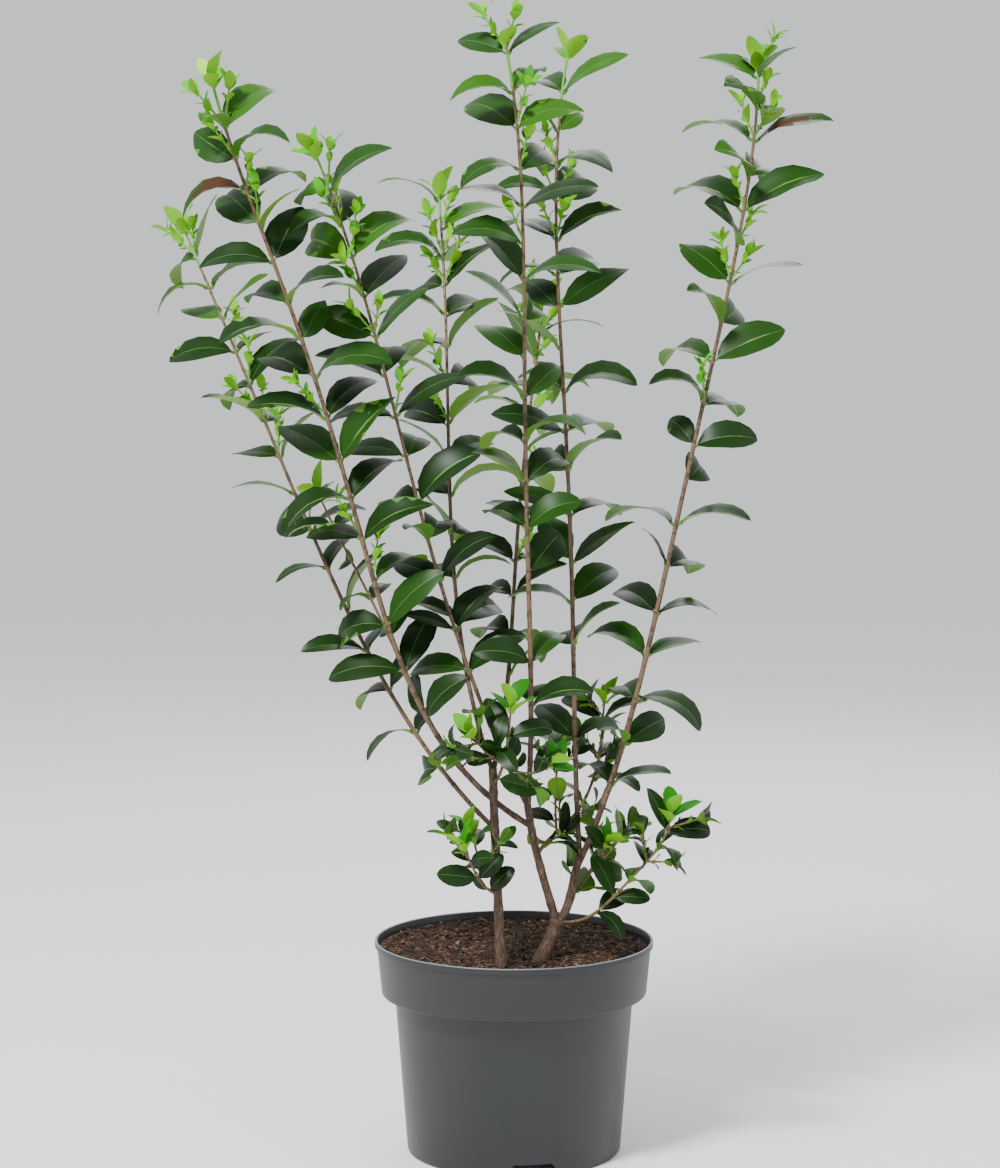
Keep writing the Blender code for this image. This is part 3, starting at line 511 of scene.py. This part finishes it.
# Young grey-brown bark: streaked lengthways, darker in its hollows, with pale dots of cork.
bark = new_material("young grey-brown bark", "#78624F", 0.72)
bark_place = add_node(bark, "ShaderNodeTexCoord", {}, {})
stretched = add_node(bark, "ShaderNodeMapping", {}, {
    "Vector": bark_place.outputs["Object"], "Scale": (1.0, 1.0, 0.25)})
streaks = add_node(bark, "ShaderNodeTexNoise", {}, {
    "Vector": stretched.outputs[0], "Scale": 1 / 0.0022, "Detail": 5.0, "Roughness": 0.65})
bark_tint = add_node(bark, "ShaderNodeValToRGB", {}, {"Fac": streaks.outputs["Fac"]})
bark_tint.color_ramp.elements[0].position = 0.32
bark_tint.color_ramp.elements[0].color = linear("#2B1C14")
bark_tint.color_ramp.elements[1].position = 0.70
bark_tint.color_ramp.elements[1].color = linear("#725A47")
grey_brown = bark_tint.color_ramp.elements.new(0.5)
grey_brown.color = linear("#4C3628")
dots = add_node(bark, "ShaderNodeTexVoronoi", {}, {
    "Vector": bark_place.outputs["Object"], "Scale": 1 / 0.0042})
cork = add_node(bark, "ShaderNodeMapRange", {}, {
    "Value": dots.outputs["Distance"], "From Min": 0.10, "From Max": 0.17, "To Min": 0.75, "To Max": 0.0})
dotted = add_node(bark, "ShaderNodeMix", {"data_type": "RGBA"}, {
    0: cork.outputs[0], 6: bark_tint.outputs["Color"], 7: linear("#9A866F")})
drive(bark, "Base Color", dotted.outputs[2])
grain = add_node(bark, "ShaderNodeBump", {}, {
    "Height": streaks.outputs["Fac"], "Strength": 0.6, "Distance": 0.0004})
drive(bark, "Normal", grain.outputs["Normal"])

trunk_nodes = np.arange(0.02, 0.3, OLD_NODES)
limbs = [
    stem_tube(TRUNK_LEFT, (0.0047, 0.0042), BARK_SIDES, trunk_nodes, start=-0.008, flare=0.45),
    stem_tube(TRUNK_RIGHT, (0.0062, 0.0066), BARK_SIDES, [0.040], start=-0.008, flare=0.45),
    stem_tube(FORK_LEFT, (0.0043, 0.0037), BARK_SIDES, trunk_nodes),
    stem_tube(FORK_RIGHT, (0.0046, 0.0041), BARK_SIDES, trunk_nodes + 0.01),
]
for stem in LONG_STEMS.values():
    old_nodes = np.arange(stem.bare, 0.0, -OLD_NODES)
    limbs.append(stem_tube(stem.points, stem.radii, BARK_SIDES, old_nodes, end=stem.bare))
limb_faces, limb_count = [], 0
for limb in limbs:
    limb_faces.append(repeated_faces(limb) + limb_count)
    limb_count += limb[..., 0].size
limb_points = np.concatenate([limb.reshape(-1, 3) for limb in limbs])
bark_limbs = make_piece("bark_limbs", limb_points, np.concatenate(limb_faces), [bark])
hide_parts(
    "trunk_left", "trunk_right", "bough_fork_left", "bough_fork_right",
    *[f"bough_{name}" for name in LONG_STEMS])


# Leafy stems and their side twigs. They grow by one rule: crossed pairs of leaves up each stem, side
# shoots in the axils, more of them the higher up, and young leaves at the tip. A leaf that finds no
# clear place turns aside, gets shorter or is left out, and the shoots end in finer leaves and buds.
YOUNG_LEAF = 0.021
TIP_LEAF = 0.036
PAIR_STAGGER = 0.0015
TWIG_RADIUS = 0.0011
AXIL_RISE = 0.005
PAIR_SPACING = 1.15
ADULT_WIDTH = 0.46
YOUNG_WIDTH = 0.50
ADULT_BENDS = (0.7, 1.1, 1.5)
YOUNG_BEND = 0.6
LEAF_RISE = (34, 58)
LEAF_ROLL = (10, 72)
SHOOT_LEAF_RISE = (50, 70)
TWIG_LEAF_RISE = (36, 56)
TWIG_LEAF_ROLL = (-15, 45)
LEAF_GAP = 0.0046
YOUNG_GAP = 0.0026
SOIL_CLEARANCE = 0.006
ROOT_STRETCH = 0.014
SAMPLE_STEP = 0.004
CROSSING = math.radians(70)
TURN_ASIDE = [
    (0, 1.0), (22, 1.0), (-22, 1.0), (0, 0.8), (44, 0.9), (-44, 0.9), (66, 0.8), (-66, 0.8), (0, 0.6)]
LEFT_SIDE_STEM = Stem(
    [(-0.108, -0.0715, 0.495), (-0.138, -0.058, 0.560), (-0.170, -0.040, 0.620), (-0.193, -0.022, 0.665)],
    (0.0015, 0.0010), step=0.020, bare=0.020, leaf=0.046, spacing=0.040, facing=60.0)
LOW = dict(
    step=0.014, spacing=0.023, shoots=(0.6, 0.6), shoot_length=(0.018, 0.036), shoot_turn=50.0,
    bright=False)
LOW_STEMS = {
    "foot_left": [
        Stem(
            [(-0.0165, -0.090, 0.278), (-0.033, -0.106, 0.294), (-0.041, -0.120, 0.312),
             (-0.050, -0.128, 0.334)],
            (0.0015, 0.0009), leaf=0.040, shoot_leaf=0.034, facing=30.0, **LOW),
        Stem(
            [(-0.033, -0.106, 0.294), (-0.036, -0.098, 0.318), (-0.044, -0.092, 0.342)],
            (0.0011, 0.0009), leaf=0.038, shoot_leaf=0.032, facing=60.0, **LOW)],
    "low_left": [
        Stem(
            [(-0.0205, -0.085, 0.386), (-0.011, -0.099, 0.408), (-0.006, -0.105, 0.438),
             (-0.003, -0.107, 0.466)],
            (0.0017, 0.0009), leaf=0.048, shoot_leaf=0.040, facing=70.0, **LOW),
        Stem(
            [(-0.011, -0.099, 0.408), (-0.028, -0.110, 0.422), (-0.042, -0.118, 0.442)],
            (0.0012, 0.0009), leaf=0.042, shoot_leaf=0.034, facing=60.0, **LOW),
        Stem(
            [(-0.011, -0.099, 0.408), (0.006, -0.112, 0.402), (0.024, -0.120, 0.404), (0.036, -0.124, 0.414)],
            (0.0012, 0.0009), leaf=0.042, shoot_leaf=0.034, facing=20.0, **LOW)],
    "low_middle": [
        Stem(
            [(0.0235, -0.057, 0.312), (0.042, -0.038, 0.330), (0.061, -0.017, 0.345),
             (0.079, 0.002, 0.376), (0.089, 0.018, 0.430), (0.092, 0.024, 0.458)],
            (0.0019, 0.0010), leaf=0.050, shoot_leaf=0.040, facing=20.0, **LOW),
        Stem(
            [(0.042, -0.038, 0.330), (0.041, -0.026, 0.360), (0.043, -0.018, 0.394), (0.047, -0.014, 0.420)],
            (0.0013, 0.0009), leaf=0.044, shoot_leaf=0.036, facing=70.0, **LOW)],
    "foot_right": [
        Stem(
            [(0.0560, -0.053, 0.266), (0.073, -0.036, 0.286), (0.092, -0.014, 0.302), (0.108, 0.010, 0.318)],
            (0.0016, 0.0009), leaf=0.044, shoot_leaf=0.036, facing=80.0, **LOW),
        Stem(
            [(0.073, -0.036, 0.286), (0.081, -0.048, 0.304), (0.092, -0.058, 0.324)],
            (0.0012, 0.0009), leaf=0.040, shoot_leaf=0.034, facing=60.0, **LOW)],
    "low_right": [Stem(
        [(0.0450, -0.057, 0.2445), (0.078, -0.067, 0.254), (0.103, -0.076, 0.279),
         (0.134, -0.084, 0.315), (0.152, -0.088, 0.358)],
        (0.0017, 0.0009), bare=0.030, leaf=0.044, shoot_leaf=0.036, facing=10.0, **LOW)],
}


def filled(points, radii, step, flare=0.0):
    """Closely spaced points along a limb's straight steps, and the radius at each."""
    path = Path(points, step)
    runs = np.linspace(0.0, path.length, math.ceil(path.length / SAMPLE_STEP) + 1)
    even = radii[0] + (radii[1] - radii[0]) * runs / path.length
    return path.at(runs), even * (1.0 + flare * np.exp(-runs / 0.012))


class Space:
    """What limbs and leaves already fill: points with a radius round each."""

    def __init__(self):
        self.points = np.empty((0, 3))
        self.radii = np.empty(0)

    def take(self, points, radii):
        """Marks points as filled."""
        self.points = np.vstack([self.points, points])
        self.radii = np.concatenate([self.radii, np.broadcast_to(radii, len(points))])

    def is_clear(self, points, gap):
        """Whether no point comes nearer than a gap to what is filled, nor to the soil and pot."""
        reach = gap + 0.01
        over = self.points > points.min(axis=0) - reach
        under = self.points < points.max(axis=0) + reach
        inside = np.all(over & under, axis=1)
        across = np.hypot(points[:, 0], points[:, 1])
        over_pot = np.where(across < COLLAR_BOTTOM_RADIUS - 2 * SOIL_CLEARANCE, SOIL_TOP, POT_HEIGHT)
        if np.any(points[:, 2] < over_pot + SOIL_CLEARANCE):
            return False
        if not inside.any():
            return True
        apart = np.linalg.norm(points[:, None] - self.points[inside][None], axis=2) - self.radii[inside]
        return apart.min() > gap


@dataclass
class Leaf:
    """A leaf by its root, axis, upper side, length, width and bend, its spray and how fresh it is."""

    root: np.ndarray
    along: np.ndarray
    up: np.ndarray
    length: float
    width: float
    bend: float
    young: bool
    spray: tuple = (0, 0.0)
    fresh: float = 0.0

    def sample(self):
        """Points all over the blade, apart from the stretch next to the stem."""
        share = np.linspace(min(0.3, ROOT_STRETCH / self.length), 1.0, 14)
        turn = self.bend * share[:, None]
        arc = self.along * np.sin(turn) - self.up * (1.0 - np.cos(turn))
        midrib = self.root + arc * self.length / self.bend
        across = np.cross(self.up, self.along) * self.width / 2
        spread = np.sin(np.pi * share ** 1.2)[:, None]
        return np.vstack([midrib + across * spread * side for side in np.linspace(-1.0, 1.0, 9)])


def direction(tangent, facing, rise, roll=0.0):
    """The axis and upper side of a leaf on a stem that points along tangent.

    Facing 0 looks to -Y and 90 degrees to +X, rise counts from square to the stem, and roll turns
    the upper side about the axis towards -Y.
    """
    front = np.array([0.0, -1.0, 0.0])
    front = front - tangent * (front @ tangent)
    front /= np.linalg.norm(front)
    right = np.cross(tangent, front)
    right *= 1.0 if right[0] > 0 else -1.0
    out = front * math.cos(facing) + right * math.sin(facing)
    along = out * math.cos(rise) + tangent * math.sin(rise)
    flat = tangent * math.cos(rise) - out * math.sin(rise)
    side = np.cross(flat, along)
    side *= 1.0 if side[1] < 0 else -1.0
    return along, flat * math.cos(roll) + side * math.sin(roll)


def place_leaf(root, tangent, angles, size, bend, young, space):
    """Turns a leaf aside, or makes it shorter, until it is clear. Without a clear place it is skipped."""
    gap = YOUNG_GAP if young else LEAF_GAP
    facing, rise, roll = angles
    length, width = size
    for aside, shorter in TURN_ASIDE:
        along, up = direction(tangent, facing + math.radians(aside), rise, roll)
        leaf = Leaf(root, along, up, length * shorter, width * shorter, bend, young)
        points = leaf.sample()
        if space.is_clear(points, gap):
            space.take(points, 0.0)
            return [leaf]
    return []


def grow_twig(root, along, length, leaf_length, young, rng, space):
    """A straight side twig with crossed pairs of leaves, and its leaves. Empty if it has no room."""
    runs = np.linspace(0.35, 1.0, 6)[:, None] * length
    points = root + along * runs
    if not space.is_clear(points, YOUNG_GAP):
        return [], []
    leaves = []
    pairs = max(1, round(length / PAIR_SPACING / leaf_length))
    for k in range(pairs):
        run = length * (k + 1) / pairs - PAIR_STAGGER
        facing = (k % 2) * math.pi / 2 + rng.uniform(-0.3, 0.3)
        size = leaf_length * rng.uniform(0.8, 1.1) * (1.0 - 0.25 * k / pairs)
        rise = math.radians(rng.uniform(*(SHOOT_LEAF_RISE if young else TWIG_LEAF_RISE)))
        roll = math.radians(rng.uniform(*TWIG_LEAF_ROLL))
        bend = YOUNG_BEND if young else ADULT_BENDS[rng.integers(len(ADULT_BENDS))]
        width = size * (YOUNG_WIDTH if young else ADULT_WIDTH)
        for turn in (0.0, math.pi):
            angles = (facing + turn, rise, roll)
            found = place_leaf(root + along * run, along, angles, (size, width), bend, young, space)
            for leaf in found:
                leaf.fresh = 0.8 * (k + 1) / pairs
            leaves += found
            run -= PAIR_STAGGER
    space.take(points, TWIG_RADIUS)
    return [(root, along, length, young)], leaves


def grow(stem, rng, space):
    """Crossed pairs of leaves up a stem, side shoots in their axils, and young leaves at the tip."""
    path = Path(stem.points, stem.step)
    twigs, leaves, nodes = [], [], []
    run = stem.bare + 0.4 * stem.spacing
    facing = math.radians(stem.facing)
    crossing = CROSSING
    tip_reach = 0.35 * TIP_LEAF
    while run < path.length - tip_reach:
        share = run / path.length
        root, tangent = path.at(run)[0], path.tangent(run)
        tip_taper = 1.0 - 0.2 * max(0.0, (share - 0.88) / 0.12)
        nodes.append(run)
        for turn in (0.0, math.pi):
            size = stem.leaf * (0.88 + 0.24 * share) * tip_taper * rng.uniform(0.86, 1.12)
            rise = math.radians(rng.uniform(*LEAF_RISE))
            roll = math.radians(rng.uniform(*LEAF_ROLL))
            bend = ADULT_BENDS[rng.integers(len(ADULT_BENDS))]
            width = size * ADULT_WIDTH * rng.uniform(0.85, 1.15)
            shift = facing + turn + rng.uniform(-0.2, 0.2)
            shoot, shoot_length = rng.uniform(), rng.uniform(*stem.shoot_length)
            found = place_leaf(root, tangent, (shift, rise, roll), (size, width), bend, False, space)
            chance = stem.shoots[0] + (stem.shoots[1] - stem.shoots[0]) * share
            if shoot < chance:
                axil = path.at(run + AXIL_RISE)[0]
                along = direction(tangent, shift, math.radians(90 - stem.shoot_turn))[0]
                new_twigs, twig_leaves = grow_twig(
                    axil, along, shoot_length, stem.shoot_leaf, stem.bright, rng, space)
                twigs += new_twigs
                found += twig_leaves
            for leaf in found:
                leaf.spray = (len(nodes), share)
            leaves += found
            root = path.at(run + PAIR_STAGGER)[0]
        facing += crossing + rng.uniform(-0.1, 0.1)
        crossing = math.pi - crossing
        run += stem.spacing * (1.1 - 0.35 * share) * rng.uniform(0.88, 1.12)
    for k in range(2):
        root, tangent = path.at(path.length - 0.002 - 0.006 * k)[0], path.tangent(path.length)
        for turn in (0.0, math.pi):
            length = TIP_LEAF * rng.uniform(0.8, 1.1)
            size = (length, length * YOUNG_WIDTH)
            angles = (facing + turn, math.radians(70 - 18 * k), 0.0)
            found = place_leaf(root, tangent, angles, size, YOUNG_BEND, True, space)
            for leaf in found:
                leaf.spray = (len(nodes) + 1, 1.0)
                leaf.fresh = 1.0 - 0.5 * k
            leaves += found
        facing += math.pi / 2
    return twigs, leaves, nodes


masses = {name: [stem] for name, stem in LONG_STEMS.items()}
masses["left"].append(LEFT_SIDE_STEM)
masses.update(LOW_STEMS)
space = Space()
space.take(*filled(TRUNK_LEFT, (0.0047, 0.0042), TRUNK_STEP, 0.45))
space.take(*filled(TRUNK_RIGHT, (0.0062, 0.0066), TRUNK_STEP, 0.45))
space.take(*filled(FORK_LEFT, (0.0043, 0.0037), TRUNK_STEP))
space.take(*filled(FORK_RIGHT, (0.0046, 0.0041), TRUNK_STEP))
for stem in [stem for stems in masses.values() for stem in stems]:
    space.take(*filled(stem.points, stem.radii, stem.step))
grown = {}
for seed, (name, stems) in enumerate(masses.items(), start=1):
    rng = np.random.default_rng(seed)
    grown[name] = [(stem, *grow(stem, rng, space)) for stem in stems]

# Twigs end in a last small pair of leaves round a bud, finer than the solids carry them.
bud_rng = np.random.default_rng(100)
SHOOT_PAIRS = [(0.25, 0.35, 0.50, 45, 60), (0.65, 0.55, 0.75, 50, 66), (1.0, 0.80, 1.10, 64, 80)]
BUD_LENGTH = 0.004
for parts in grown.values():
    for stem, twigs, leaves, nodes in parts:
        for root, along, length, bright in twigs:
            spray = (len(nodes), 0.5)
            near = [leaf.spray for leaf in leaves if np.linalg.norm(leaf.root - root) < length + 0.002]
            spray = near[0] if near else spray
            facing = bud_rng.uniform(0.0, math.tau)
            soft = bright or bud_rng.uniform() < 0.08
            for place, small, large, low, high in SHOOT_PAIRS:
                facing += math.pi / 2
                for turn in (0.0, math.pi):
                    size = min(stem.shoot_leaf, 0.024) * bud_rng.uniform(small, large)
                    rise = math.radians(bud_rng.uniform(low, high))
                    axis, up = direction(along, facing + turn, rise)
                    tip = root + along * (length * place - 0.0005)
                    leaves.append(Leaf(tip, axis, up, size, size * 0.43, 0.5, soft, spray, place))

# Where no twig grows, a green bud sits in the axil of each leaf.
buds = []
for parts in grown.values():
    for stem, twigs, leaves, nodes in parts:
        path = Path(stem.points, stem.step)
        twig_roots = np.array([twig[0] for twig in twigs] + [[9.0, 9.0, 9.0]])
        for leaf in leaves:
            run = path.run[0] if leaf.young else float(np.interp(leaf.root[2], path.line[:, 2], path.run))
            root = path.at(run + 0.0035)[0]
            if leaf.young or np.linalg.norm(twig_roots - root, axis=1).min() < 0.006:
                continue
            out = leaf.along + 1.6 * path.tangent(run)
            out /= np.linalg.norm(out)
            buds.append(root + np.outer([0.0, 0.0022, 0.0040, 0.0058], out))

stem_parts, stem_indices = [], []
bud_tubes = tubes(np.array(buds), np.broadcast_to([0.0006, 0.0011, 0.0010, 0.0003], (len(buds), 4)), 5)
stem_parts.append(bud_tubes)
stem_indices.append(np.full(len(buds) * 5 * 5, 3))
for parts in grown.values():
    for stem, twigs, leaves, nodes in parts:
        start = stem.bare if stem in LONG_STEMS.values() else 0.0
        points = stem_tube(stem.points, stem.radii, STEM_SIDES, nodes, start=start, relief=0.03)
        bands = points.shape[1] - 1
        share = np.linspace(0.0, 1.0, bands)
        kind = np.where(share > 0.93, 2, np.where(share > 0.62, 1, 0)) if stem.bright else 1 + 0 * share
        mottled = np.repeat(kind.astype(int), STEM_SIDES)
        spots = value_noise(points[0, :-1].reshape(-1, 3), 0.0035, 63) > 0.25
        mottled = np.where((mottled < 2) & spots, 4, mottled)
        stem_parts.append(points)
        stem_indices.append(mottled)
twig_share = np.array([0.0, 0.3, 0.7, 1.0, 1.0, 1.0])
for bright in (True, False):
    twigs = [twig for parts in grown.values() for part in parts for twig in part[1] if twig[3] == bright]
    roots, axes = np.array([twig[0] for twig in twigs]), np.array([twig[1] for twig in twigs])
    reach = np.array([twig[2] for twig in twigs])
    bud = np.array([0.0, 0.0, 0.0, 0.0, 0.45, 1.0]) * BUD_LENGTH
    along = reach[:, None] * twig_share + bud
    lines = roots[:, None] + axes[:, None] * along[..., None]
    radii = np.array([1.05, 1.0, 0.85, 0.75, 0.95, 0.25]) * TWIG_RADIUS
    points = tubes(lines, np.broadcast_to(radii, along.shape), 6)
    stem_parts.append(points)
    stem_indices.append(np.full(len(points) * (points.shape[1] - 1) * 6, 2 if bright else 1))
stem_faces, stem_count = [], 0
for points in stem_parts:
    stem_faces.append(repeated_faces(points) + stem_count)
    stem_count += points[..., 0].size
stem_materials = [
    new_material("brown stem", "#665039", 0.6),
    new_material("ripening stem", "#6A5232", 0.5),
    new_material("green stem", "#5E9A2C", 0.45),
    new_material("resting bud", "#7F9A45", 0.5),
    new_material("brown stem streak", "#4A3626", 0.65),
]
stems = make_piece(
    "leafy_stems", np.concatenate([points.reshape(-1, 3) for points in stem_parts]),
    np.concatenate(stem_faces), stem_materials, np.concatenate(stem_indices))
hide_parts(*[f"foliage_{name}" for name in masses])


# Grown leaves: firm, glossy blades on short petioles, an egg-shaped outline drawn out to a point, the
# two halves folded up a little along a pale midrib, dark green above and yellow-green beneath.
ADULT_ROWS = np.array([0.0, 0.03, 0.075, 0.12, 0.22, 0.37, 0.54, 0.71, 0.85, 0.95, 1.0])
ADULT_LOOP = np.array([
    (-1.0, 0), (-0.5, 1), (-0.014, 1), (0.014, 1), (0.5, 1), (1.0, 0), (0.10, -1), (-0.10, -1)])
ADULT_PARTS = np.array([0, 0, 2, 0, 0, 1, 2, 1])
PETIOLE = 0.075
PETIOLE_HALF = 0.0008
BLADE_HALF = 0.00018


def leaf_shells(leaves, rows, loop, fold, bow, fall, rng):
    """Closed blades for leaves, all at once: a loop round the blade at each of the rows.

    At a share s of its length the blade is 2h wide, h = W/2 (u^a (1-u)^b) / peak with u = s past the
    petiole. Its middle bends down an arc of L, and the point t across, from -1 to 1, lies
    S h t + N (h (f |t| - c t^2) + w sin(2 pi (k s + p)) |t| + d) from it, d the thickness on its side.
    S and N turn about the arc by a twist that grows with s squared.
    """
    count = len(leaves)

    def drawn(low, high):
        return rng.uniform(low, high, (count, 1, 1))

    def gathered(name):
        return np.array([getattr(leaf, name) for leaf in leaves]).reshape(count, 1, 1, -1)

    root, along, up = gathered("root"), gathered("along"), gathered("up")
    length, width, bend = (gathered(name)[..., 0] for name in ("length", "width", "bend"))
    share, across, side = rows[None, :, None], loop[None, None, :, 0], loop[None, None, :, 1]
    blade = np.clip((share - PETIOLE) / (1.0 - PETIOLE), 0.0, 1.0)
    rise, fall = drawn(0.62, 0.80), np.asarray(fall).reshape(-1, 1, 1) + drawn(-0.08, 0.08)
    peak = (rise / (rise + fall)) ** rise * (fall / (rise + fall)) ** fall
    ends = (share > 0.0) * (share < 1.0)
    half = width / 2 * blade ** rise * (1.0 - blade) ** fall / peak
    half = np.maximum(half, PETIOLE_HALF * (1.0 - blade)) * ends
    bend = bend * drawn(0.8, 1.35)
    turn = bend * share
    sine, cosine = np.sin(turn)[..., None], np.cos(turn)[..., None]
    middle = root + (along * sine - up * (1.0 - cosine)) * (length / bend)[..., None]
    over, beside = up * cosine + along * sine, np.cross(up, along)
    twist = (drawn(-0.5, 0.5) * share ** 2)[..., None]
    square = beside * np.cos(twist) + over * np.sin(twist)
    normal = over * np.cos(twist) - beside * np.sin(twist)
    sheet = half * (drawn(*fold) * np.abs(across) - bow * across ** 2)
    wave = width * drawn(0.0, 0.035) * np.sin(math.tau * (drawn(1.0, 2.2) * share + drawn(0.0, 1.0)))
    sheet = sheet + wave * np.abs(across) * np.minimum(blade * 4.0, 1.0) * ends
    thick = (BLADE_HALF + PETIOLE_HALF * np.exp(-(blade / 0.08))) * ends * side
    thick = thick * np.where(side < 0, 1.0 + 1.6 * (1.0 - share), 1.0)
    return middle + square * (half * across)[..., None] + normal * (sheet + thick)[..., None]


def leaf_piece(name, points, parts, materials, kinds, nodes, scorched=()):
    """Joins blades into one piece. Each leaf takes its row of materials, kinds, by part of the blade."""
    bands = points.shape[1] - 1
    by_face = np.repeat(kinds[:, parts][:, None], bands, axis=1)
    by_face[:, :2] = kinds[:, -1][:, None, None]
    for leaf in scorched:
        by_face[leaf, 3:7, 1] = by_face[leaf, 4:6, 0] = by_face[leaf, 4:7, 3] = len(materials) - 1
    piece = make_piece(name, points, repeated_faces(points), materials, by_face.ravel(), crease=50.0)
    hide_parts(*nodes)
    return piece


# One wax-coated green for each state of ripeness, so that sprays differ as they do on the plant.
UPPER_GREENS = ("#0D2207", "#132E09", "#1C400B", "#2E5C0F", "#4A8214")
UNDER_GREENS = ("#3F6C18", "#4E7C1E", "#679628")
adult_materials = [
    new_material(f"grown leaf {k + 1}", colour, 0.40, IOR=1.40, Specular_IOR_Level=0.25)
    for k, colour in enumerate(UPPER_GREENS)]
adult_materials += [
    new_material(f"leaf underside {k + 1}", colour, 0.55, Specular_IOR_Level=0.3)
    for k, colour in enumerate(UNDER_GREENS)]
adult_materials += [new_material("midrib", "#567F35", 0.45),
    new_material("scorched leaf", "#3F2312", 0.7, Specular_IOR_Level=0.2)]
colour_rng = np.random.default_rng(200)
# Near the top of the left and the right stem the outermost large leaf has a brown scorched patch.
scorched_leaves = []
for key, outwards in (("left", -1.0), ("right", 1.0)):
    large = [leaf for leaf in grown[key][0][2] if not leaf.young and leaf.spray[1] > 0.86]
    scorched_leaves.append(max(large, key=lambda leaf: outwards * leaf.along[0] * leaf.length))
for name, chosen in (("leaves_long_stems", LONG_STEMS), ("leaves_low_masses", LOW_STEMS)):
    leaves, kinds, falls = [], [], []
    for key in chosen:
        for stem, twigs, found, nodes in grown[key]:
            ripeness = colour_rng.uniform(-0.8, 0.8, len(nodes) + 3)
            for leaf in found:
                if leaf.young:
                    continue
                node, share = leaf.spray
                ripe = 0.9 + 1.7 * share ** 3 if stem.bright else 0.7
                shade = ripe + ripeness[node] + colour_rng.uniform(-0.5, 0.5)
                under = 5 + colour_rng.integers(3)
                leaves.append(leaf)
                falls.append(0.68 + 0.28 * share if stem.bright else 0.66)
                kinds.append((int(np.clip(round(shade), 0, 4)), under, 8))
    points = leaf_shells(
        leaves, ADULT_ROWS, ADULT_LOOP, (0.12, 0.55), 0.16, falls, np.random.default_rng(300))
    scorched = [at for at, leaf in enumerate(leaves) if any(leaf is top for top in scorched_leaves)]
    nodes = [f"foliage_{key}" for key in chosen]
    leaf_piece(name, points, ADULT_PARTS, adult_materials, np.array(kinds), nodes, scorched)


# Young leaves: small, soft and bright yellow-green, a simple blade with no midrib to be seen.
YOUNG_ROWS = np.array([0.0, 0.08, 0.2, 0.4, 0.64, 0.86, 1.0])
YOUNG_LOOP = np.array([(-1.0, 0), (-0.35, 1), (0.35, 1), (1.0, 0), (0.0, -1)])
YOUNG_PARTS = np.array([0, 0, 0, 1, 1])
YOUNG_GREENS = ("#1E6A08", "#2E8408", "#48A00A", "#76C014", "#A0D634")
young_materials = [
    new_material(f"young leaf {k + 1}", colour, 0.50, IOR=1.40, Specular_IOR_Level=0.20)
    for k, colour in enumerate(YOUNG_GREENS)]
young_materials.append(new_material("young underside", "#7CC022", 0.5, Specular_IOR_Level=0.2))
leaves, kinds = [], []
for parts in grown.values():
    for stem, twigs, found, nodes in parts:
        ripeness = colour_rng.uniform(-0.7, 0.7, len(nodes) + 3)
        for leaf in found:
            if not leaf.young:
                continue
            node, share = leaf.spray
            shade = (0.6 + 1.9 * leaf.fresh if stem.bright else 1.1 * leaf.fresh) + ripeness[node]
            shade += colour_rng.uniform(-0.5, 0.5)
            leaves.append(leaf)
            kinds.append((int(np.clip(round(shade), 0, 4)), 5))
points = leaf_shells(leaves, YOUNG_ROWS, YOUNG_LOOP, (0.15, 0.5), 0.12, 0.85, np.random.default_rng(301))
nodes = [f"foliage_{name}" for name in masses]
leaf_piece("young_leaves", points, YOUNG_PARTS, young_materials, np.array(kinds), nodes)


# The studio: a pale seamless floor, an even white sky and soft lamps, seen as the photo sees the plant.
floor_mesh = bpy.data.meshes.new("floor")
floor_mesh.from_pydata([(-6, -6, 0), (6, -6, 0), (6, 6, 0), (-6, 6, 0)], [], [(0, 1, 2, 3)])
floor_mesh.materials.append(new_material("pale floor", "#F4F4F2", 0.9))
floor = bpy.data.objects.new("floor", floor_mesh)
bpy.context.scene.collection.objects.link(floor)

world = bpy.data.worlds.new("white sky")
bpy.context.scene.world = world
world.use_nodes = True
world.node_tree.nodes["Background"].inputs["Color"].default_value = linear("#F7F9FB")
world.node_tree.nodes["Background"].inputs["Strength"].default_value = 0.9


def lamp(name, place, target, size, power):
    """A square soft lamp at a place, turned to a target."""
    light = bpy.data.lights.new(name, "AREA")
    light.size = size
    light.energy = power
    item = bpy.data.objects.new(name, light)
    item.location = place
    item.rotation_euler = (Vector(target) - Vector(place)).to_track_quat("-Z", "Y").to_euler()
    bpy.context.scene.collection.objects.link(item)


lamp("key", (-1.2, -1.8, 3.2), (0.0, 0.0, 0.6), 0.7, 190.0)
lamp("fill", (2.4, -1.2, 1.6), (0.0, 0.0, 0.6), 1.6, 12.0)
lamp("back", (0.6, 2.4, 2.2), (0.0, 0.0, 0.7), 1.6, 30.0)

camera = bpy.data.cameras.new("camera")
camera.sensor_fit = "VERTICAL"
camera.sensor_height = 36.0
camera.lens = 36.0 * 3036 / 1168
eye = bpy.data.objects.new("camera", camera)
eye.location = (-0.0141, -3.008, 0.868)
eye.rotation_euler = (math.radians(90 - 5.59), 0.0, 0.0)
bpy.context.scene.collection.objects.link(eye)
bpy.context.scene.camera = eye
